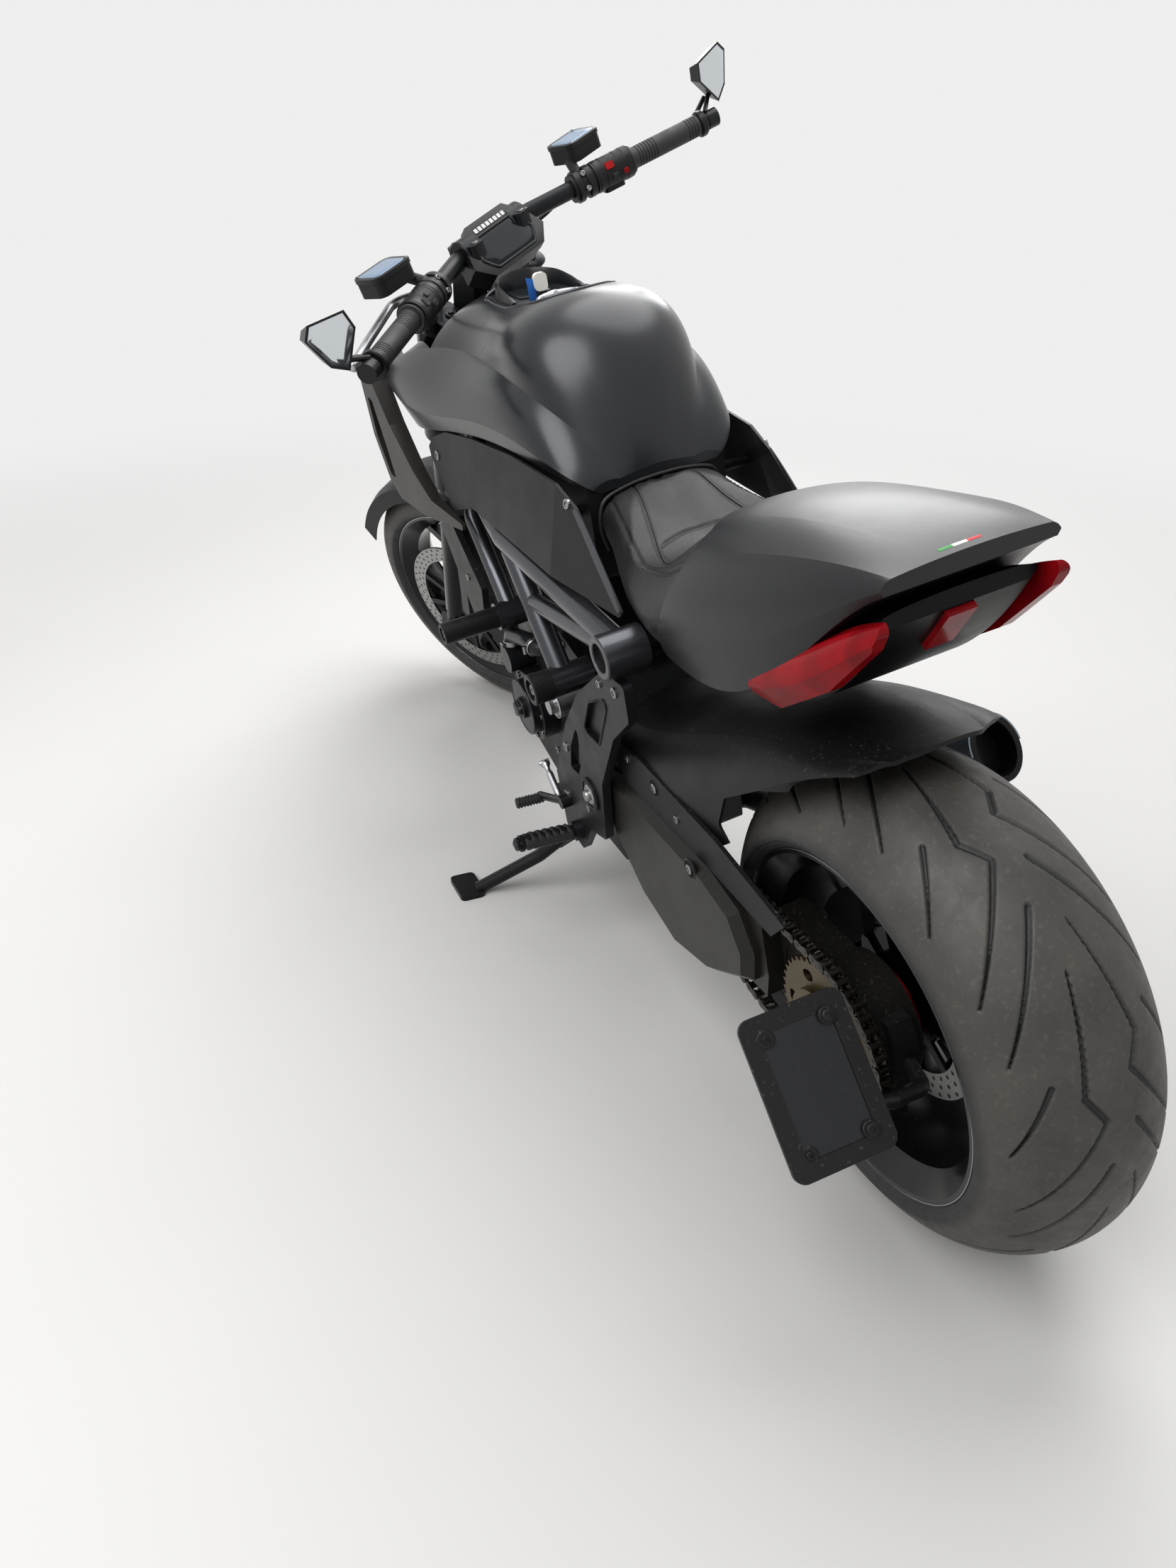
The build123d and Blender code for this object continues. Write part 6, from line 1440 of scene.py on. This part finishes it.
def along_bar(profile):
    """A profile of radius and half width turned about the bar's left side, and its mirror image. Each
    half width is a place on the bar."""
    profile, count = np.asarray(profile, float), 36
    turn = facing([BAR_LINE])[0]
    angle = np.linspace(0, 2 * np.pi, count, endpoint=False)[:, None]
    centre = bar_point(profile[:, 1, None])
    points = centre[None] + (profile[None, :, 0] * np.cos(angle))[..., None] * turn[:, 0]
    points = points + (profile[None, :, 0] * np.sin(angle))[..., None] * turn[:, 1]
    return mirrored((points.reshape(-1, 3), grid_faces(count, len(profile), around=True, along=True)))


class CRUISER_OT_grips(bpy.types.Operator):
    """Ribbed rubber grips on both bar ends"""
    bl_idname = "cruiser.grips"
    bl_label = "Grips"

    def execute(self, context):
        pitch = context.scene.cruiser_sizes.rib / MM
        place = np.linspace(276.5, 397.6, 241)
        ribbed = (place > 284) & (place < 392) & ((place < 318) | (place > 372))
        ribs = 16.9 - 1.2 * (np.mod(place, pitch) < pitch * 0.3) * ribbed
        ribs[[0, -1]] = 14.4
        flange = [(14.4, 271.2), (21.6, 271.2), (22.2, 272.4), (22.2, 275.0), (21.4, 276.2), (17.2, 276.4)]
        profile = np.concatenate([flange, np.stack([ribs, place], axis=-1)[1:]])
        grips = piece("grip_sleeves", "steering", along_bar(profile), EXTRA["grip"], "grip_rubber", sharp=40)
        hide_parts("grips")
        return {"FINISHED"}


class CRUISER_OT_bars(bpy.types.Operator):
    """Bar caps, clamps, buttons, bright levers and the fluid cups' lids"""
    bl_idname = "cruiser.bars"
    bl_label = "Bar fittings"

    def execute(self, context):
        x, _, z = BAR_START
        caps = []
        for y in (-RISER_Y, RISER_Y):
            caps += [sleeve(13.8, 25.5, y - 19, y + 19, (x, 0, z), (0, 1, 0), 40, 2.5),
                     plate_part(rounded_box(30, 66, 9), (x, y, z + 16), (0, 1, 0), (-1, 0, 0), 26)]
        piece("bar_caps", "steering", joined(caps), "Aluminium bar, satin black", "bar_black", sharp=40)
        heads = [repeated(socket_screw(5.5, 2.5), facing([(0, 0, 1.0)], (1, 0, 0)), [(x + step, y, z + 16)])
                 for step in (-25, 25) for y in (-RISER_Y, RISER_Y)]
        heads.append(self.clamp_screws())
        piece("bar_screws", "steering", joined(heads), *STEEL)
        bands = [along_bar([(21, low), (24.6, low), (25.6, low + 1.2), (25.6, high - 1.2), (24.6, high),
                            (21, high)])
                 for low, high in ((173, 183), (192, 203), (209, 218), (222, 224.5), (246, 249), (258, 268))]
        bands.append(along_bar([(15, 399), (19.8, 399), (20.6, 400), (20.6, 406.5), (19.8, 407.4),
                                (15, 407.4)]))
        piece("bar_bands", "steering", joined(bands), "ABS housing, satin black", "moulded_black")
        self.buttons()
        corners = np.array([bar_point(y) + offset for y, offset in LEVER])
        lever = tube(bent(corners, 20, 9), 7.0, (0, 0, 1), 14)
        ball = lathe([(0, 8), (5, 7), (8.2, 3), (9, -1), (8.2, -5), (6, -9), (6, -12), (0, -12)],
                     corners[3], corners[3] - corners[2], 20)
        both = [mirrored(one) for one in (lever, ball)]
        piece("levers", "steering", joined(both), *ALLOY, sharp=60)
        self.cups()
        self.fork_ends()
        return {"FINISHED"}

    def clamp_screws(self):
        """Two screws on the rear of each lever clamp."""
        back = square_to(BAR_LINE, (-1, 0, 0.35))
        across = np.cross(BAR_LINE, back)
        places = [bar_point(188) + back * 21 + across * high for high in (-12, 12)]
        turns = facing(np.tile(back, (2, 1)), facing([BAR_LINE])[0][:, 0])
        return mirrored(repeated(socket_screw(4.5, 3.5), turns, places))

    def buttons(self):
        """Rocker caps on the rear faces of both housings: a red one on the right, grey ones on the left."""
        for name, key, rows in (
                ("switch_red", "switch", ((-231, 0.25, 15, 12, 3.4), (-255, -0.5, 9, 9, 2.4))),
                ("switch_grey", "button", ((236, 0.55, 16, 9, 3.6), (236, -0.25, 12, 8, 4.4),
                                           (254, 0.2, 9, 14, 3.0), (-236, -0.55, 10, 12, 3.0)))):
            made = []
            for y, lift, width, height, rise in rows:
                side = np.sign(y)
                line = BAR_LINE * (1, side, 1)
                back = square_to(line, (-1, 0, lift + 0.3))
                place = bar_point(abs(y)) * (1, side, 1) + back * (24 + rise)
                made.append(plate_part(rounded_box(width, height, 2.6), place, line, np.cross(back, line),
                                       rise + 3))
            piece(name, "steering", joined(made), EXTRA[key], "moulded_black")
        nubs = []
        for side in (-1, 1):
            line = BAR_LINE * (1, side, 1)
            place = bar_point(236) * (1, side, 1)
            for out, step, box, thick in ((square_to(line, (1, 0, -0.4)), 31, (44, 26, 6), 14),
                                          (np.array([0, 0, -1.0]), 29, (38, 22, 5), 12)):
                nubs.append(plate_part(rounded_box(*box), place + out * step, line, np.cross(out, line),
                                       thick))
        piece("switch_bodies", "steering", joined(nubs), *MOULDING, sharp=40)

    def cups(self):
        """A dark collar and a pale blank film on each fluid cup, held by two screws."""
        (x, y, z), (length, width) = CUP
        collar, film = (plate_part(rounded_box(width + grow, length + grow, corner), (x, y, z + rise),
                                   (0, 1, 0), (-1, 0, 0), thick)
                        for grow, corner, rise, thick in ((3, 15, 1.2, 7), (-12, 9, 1.7, 0.8)))
        heads = repeated(socket_screw(3.4, 1.6), facing(np.tile([0, 0, 1.0], (2, 1)), (1, 0, 0)),
                         [(x + 25, y + 31, z + 1.2), (x - 25, y - 31, z + 1.2)])
        for name, part, material in (("cup_lids", collar, HOUSING[0]), ("cup_films", film, EXTRA["cap"]),
                                     ("cup_screws", heads, STEEL[0])):
            piece(name, "steering", mirrored(part), material, "moulded_black")

    def fork_ends(self):
        """Fork caps with their adjusters, and dust seals where the tubes slide."""
        c, s = math.cos(RAKE), math.sin(RAKE)
        up = np.array([-s, 0, c])
        base = np.array(FRONT_AXLE, float) - np.array([c, 0, s]) * FORK_OFFSET
        caps, seals = [], []
        for y in (-FORK_HALF, FORK_HALF):
            top = base + up * FORK_TOP + (0, y, 0)
            caps += [lathe([(0, 4), (22, 4), (25, 2), (26, -1), (0, -1)], top, up, 36),
                     lathe([(0, 10), (9, 10), (10.5, 8.5), (10.5, 0), (0, 0)], top, up, 6),
                     lathe([(0, 13), (4, 13), (5, 12), (5, 0), (0, 0)], top, up, 16)]
            seals.append(washer([(25.2, -7), (29.5, -7), (31, -4), (31, 6), (29.6, 8), (25.2, 8)],
                                base + up * FORK_SEAL + (0, y, 0), up, 40))
        piece("fork_caps", "steering", joined(caps), "Aluminium, anodised dark grey", "brake_alloy")
        piece("fork_seals", "steering", joined(seals), EXTRA["grip"], "fork_black", sharp=50)


class CRUISER_OT_dials(bpy.types.Operator):
    """The dial's bezel, screen with its raised rim, and the row of warning windows"""
    bl_idname = "cruiser.dials"
    bl_label = "Dials"

    def execute(self, context):
        across, out = (0, -1, 0), np.array(DIAL_OUT)
        centre = np.array(DIAL_PLACE, float)
        bezel = plate_part(np.array(DIAL, float) * 1.03, centre + out * 3.5, across, DIAL_UP, 19)
        piece("dial_bezel", "steering", bezel, *HOUSING)
        screen = plate_part(SCREEN, centre + out * 4.1, across, DIAL_UP, 0.9)
        piece("dial_screen", "steering", screen, EXTRA["screen"], "display_glass")
        loop = np.array(SCREEN, float) @ np.array((across, DIAL_UP)) + centre + out * 4.0
        piece("dial_rim", "steering", ringed(loop, 7, 2.4, out), *HOUSING, sharp=60)
        base = plate_part([(-39, 43.5), (39, 43.5), (37, 55), (-37, 55)], centre + out * 4.0, across,
                          DIAL_UP, 0.9)
        piece("dial_strip", "steering", base, MOULDING[0], "display_glass")
        windows = [plate_part([(x - 3.4, 45.5), (x + 3.4, 45.5), (x + 3.4, 53), (x - 3.4, 53)],
                              centre + out * 4.6, across, DIAL_UP, 0.9) for x in np.linspace(-33, 33, 8)]
        piece("dial_windows", "steering", joined(windows), EXTRA["window"], "display_glass")
        return {"FINISHED"}


class CRUISER_OT_lamps(bpy.types.Operator):
    """Headlamp bezel, plated bowl and lens, mirror glass, rear reflector and the radiator's fins"""
    bl_idname = "cruiser.lamps"
    bl_label = "Lamps and glass"

    def execute(self, context):
        head = np.array([(452, 1106), (414, 1150), (420, 1178), (484, 1188), (498, 1172), (478, 1124)])
        glass = head.mean(axis=0) + (head - head.mean(axis=0)) * 0.9
        made = plate_part(glass[::-1] * (-1, 1), (984.6, 0, 0), (0, -1, 0), (0, 0, 1), 0.5)
        piece("mirror_glass", "steering", mirrored(made), EXTRA["mirror"], "mirror_black")
        half = [(50, 812), (74, 832), (62, 850), (30, 861)]
        face = np.array(half + [(-y, z) for y, z in half[::-1]], float)
        middle = face.mean(axis=0)
        for name, share, x, thick, material in (("headlamp_bowl", 0.93, 1471.0, 1.5, EXTRA["reflex"]),
                                                ("headlamp_lens", 0.97, 1477.0, 3.0, EXTRA["headlight"])):
            shape = plate_part(middle + (face - middle) * share, (x, 0, 0), (0, 1, 0), (0, 0, 1), thick)
            piece(name, "steering", shape, material, "lamp_glass")
        rim = ringed(np.insert(face, 0, 1473.0, axis=1), 8, 4.2, (1, 0, 0))
        piece("headlamp_rim", "steering", rim, "Aluminium mirror body, black", "mirror_black", sharp=60)
        lamp = plate_part(rounded_box(14, 26, 4), (1472.4, 0, 838), (0, 1, 0), (0, 0, 1), 1.0)
        piece("headlamp_divider", "steering", lamp, MOULDING[0], "lamp_glass")
        c, s = math.cos(RADIATOR_TILT), math.sin(RADIATOR_TILT)
        fins = [plate_part([(-148, -118), (148, -118), (148, 118), (-148, 118)],
                           np.array(RADIATOR_PLACE) + np.array([c, 0, s]) * 17.6 * side, (0, side, 0),
                           (-s, 0, c), 0.8) for side in (-1, 1)]
        piece("radiator_fins", "chassis", joined(fins), EXTRA["fins"], "radiator_core")
        return {"FINISHED"}


def spun(first, second, angle):
    """The turn by an angle from one axis towards another."""
    turn = np.eye(3)
    turn[[first, second], [first, second]] = math.cos(angle)
    turn[second, first], turn[first, second] = math.sin(angle), -math.sin(angle)
    return turn


class CRUISER_OT_stage(bpy.types.Operator):
    """Pale floor, soft light and the camera at the photograph's angle"""
    bl_idname = "cruiser.stage"
    bl_label = "Studio"

    def execute(self, context):
        scene = context.scene
        scene.view_settings.view_transform = "Standard"
        corners = [(x * FLOOR_HALF, y * FLOOR_HALF, 0) for x, y in ((-1, -1), (1, -1), (1, 1), (-1, 1))]
        mesh = bpy.data.meshes.new("studio_floor")
        mesh.from_pydata(corners, [], [(0, 1, 2, 3)])
        mesh.materials.append(bpy.data.materials[EXTRA["floor"]])
        floor = bpy.data.objects.new("studio_floor", mesh)
        scene.collection.objects.link(floor)
        self.lights(scene)
        self.camera(scene)
        return {"FINISHED"}

    def lights(self, scene):
        """Three broad lamps at a plain level, and a pale world."""
        world = bpy.data.worlds.new("studio_world")
        scene.world = world
        world.use_nodes = True
        tree = world.node_tree
        tree.nodes.clear()
        soft = add(tree, "Background", {"Color": (1, 1, 1, 1), "Strength": 0.42})
        white = add(tree, "Background", {"Color": (1, 1, 1, 1), "Strength": WHITE})
        mixed = add(tree, "MixShader", {0: seen_by_eye(tree, 1.0), 1: soft, 2: white})
        add(tree, "OutputWorld", {0: mixed})
        for name, place, target, width, power in (
                ("key_lamp", (-1.2, 2.6, 3.4), (0, 0, 0.5), 3.2, 135),
                ("top_lamp", (0.6, -0.8, 3.8), (0, 0, 0.5), 3.4, 95),
                ("rim_lamp", (2.8, -2.0, 2.6), (0, 0, 0.6), 2.2, 60)):
            lamp = bpy.data.lights.new(name, "AREA")
            lamp.shape, lamp.size, lamp.energy = "DISK", width, power
            thing = bpy.data.objects.new(name, lamp)
            scene.collection.objects.link(thing)
            thing.location = place
            aim = np.array(target) - np.array(place)
            thing.rotation_mode = "QUATERNION"
            thing.rotation_quaternion = Matrix(facing([-aim])[0].tolist()).to_quaternion()

    def camera(self, scene):
        """The camera's three turns are those solved from the wheels, bars and floor of the picture."""
        tilt, heading, roll = CAMERA_TURNS
        level = np.array([[0, -1, 0], [0, 0, -1], [1, 0, 0]], float)
        rows = spun(0, 1, roll) @ spun(1, 2, tilt) @ level @ spun(0, 1, heading)
        lens = bpy.data.cameras.new("studio_camera")
        lens.lens, lens.sensor_width, lens.sensor_fit = CAMERA_LENS, 36.0, "AUTO"
        lens.clip_start, lens.clip_end = 0.05, 100
        camera = bpy.data.objects.new("studio_camera", lens)
        scene.collection.objects.link(camera)
        matrix = np.eye(4)
        matrix[:3, :3] = np.stack([rows[0], -rows[1], -rows[2]], axis=1)
        matrix[:3, 3] = np.array(JOINTS["rear_wheel_spin"]["pos_m"]) + CAMERA_FROM_WHEEL
        camera.matrix_world = Matrix(matrix.tolist())
        scene.camera = camera


OPERATORS = (CRUISER_OT_finishes, CRUISER_OT_tyres, CRUISER_OT_wheel_trim, CRUISER_OT_chain,
             CRUISER_OT_screws, CRUISER_OT_engine, CRUISER_OT_frame_trim, CRUISER_OT_body, CRUISER_OT_seat,
             CRUISER_OT_grips, CRUISER_OT_bars, CRUISER_OT_dials, CRUISER_OT_lamps, CRUISER_OT_stage)


class CRUISER_PT_panel(bpy.types.Panel):
    """Sizes, colours and one button for each group of pieces"""
    bl_idname = "CRUISER_PT_panel"
    bl_label = "Cruiser"
    bl_space_type = "VIEW_3D"
    bl_region_type = "UI"
    bl_category = "Cruiser"

    def draw(self, context):
        for group in (context.scene.cruiser_finish, context.scene.cruiser_sizes):
            for name in group.bl_rna.properties.keys():
                if name not in ("rna_type", "name"):
                    self.layout.prop(group, name)
        for operator in OPERATORS:
            self.layout.operator(operator.bl_idname)


CLASSES = (CRUISER_PG_finish, CRUISER_PG_sizes, *OPERATORS, CRUISER_PT_panel)


def register():
    for one in CLASSES:
        bpy.utils.register_class(one)
    bpy.types.Scene.cruiser_finish = bpy.props.PointerProperty(type=CRUISER_PG_finish)
    bpy.types.Scene.cruiser_sizes = bpy.props.PointerProperty(type=CRUISER_PG_sizes)


def unregister():
    del bpy.types.Scene.cruiser_finish
    del bpy.types.Scene.cruiser_sizes
    for one in reversed(CLASSES):
        bpy.utils.unregister_class(one)


def main():
    register()
    for operator in OPERATORS:
        group, name = operator.bl_idname.split(".")
        getattr(getattr(bpy.ops, group), name)()


if __name__ == "__main__":
    main()
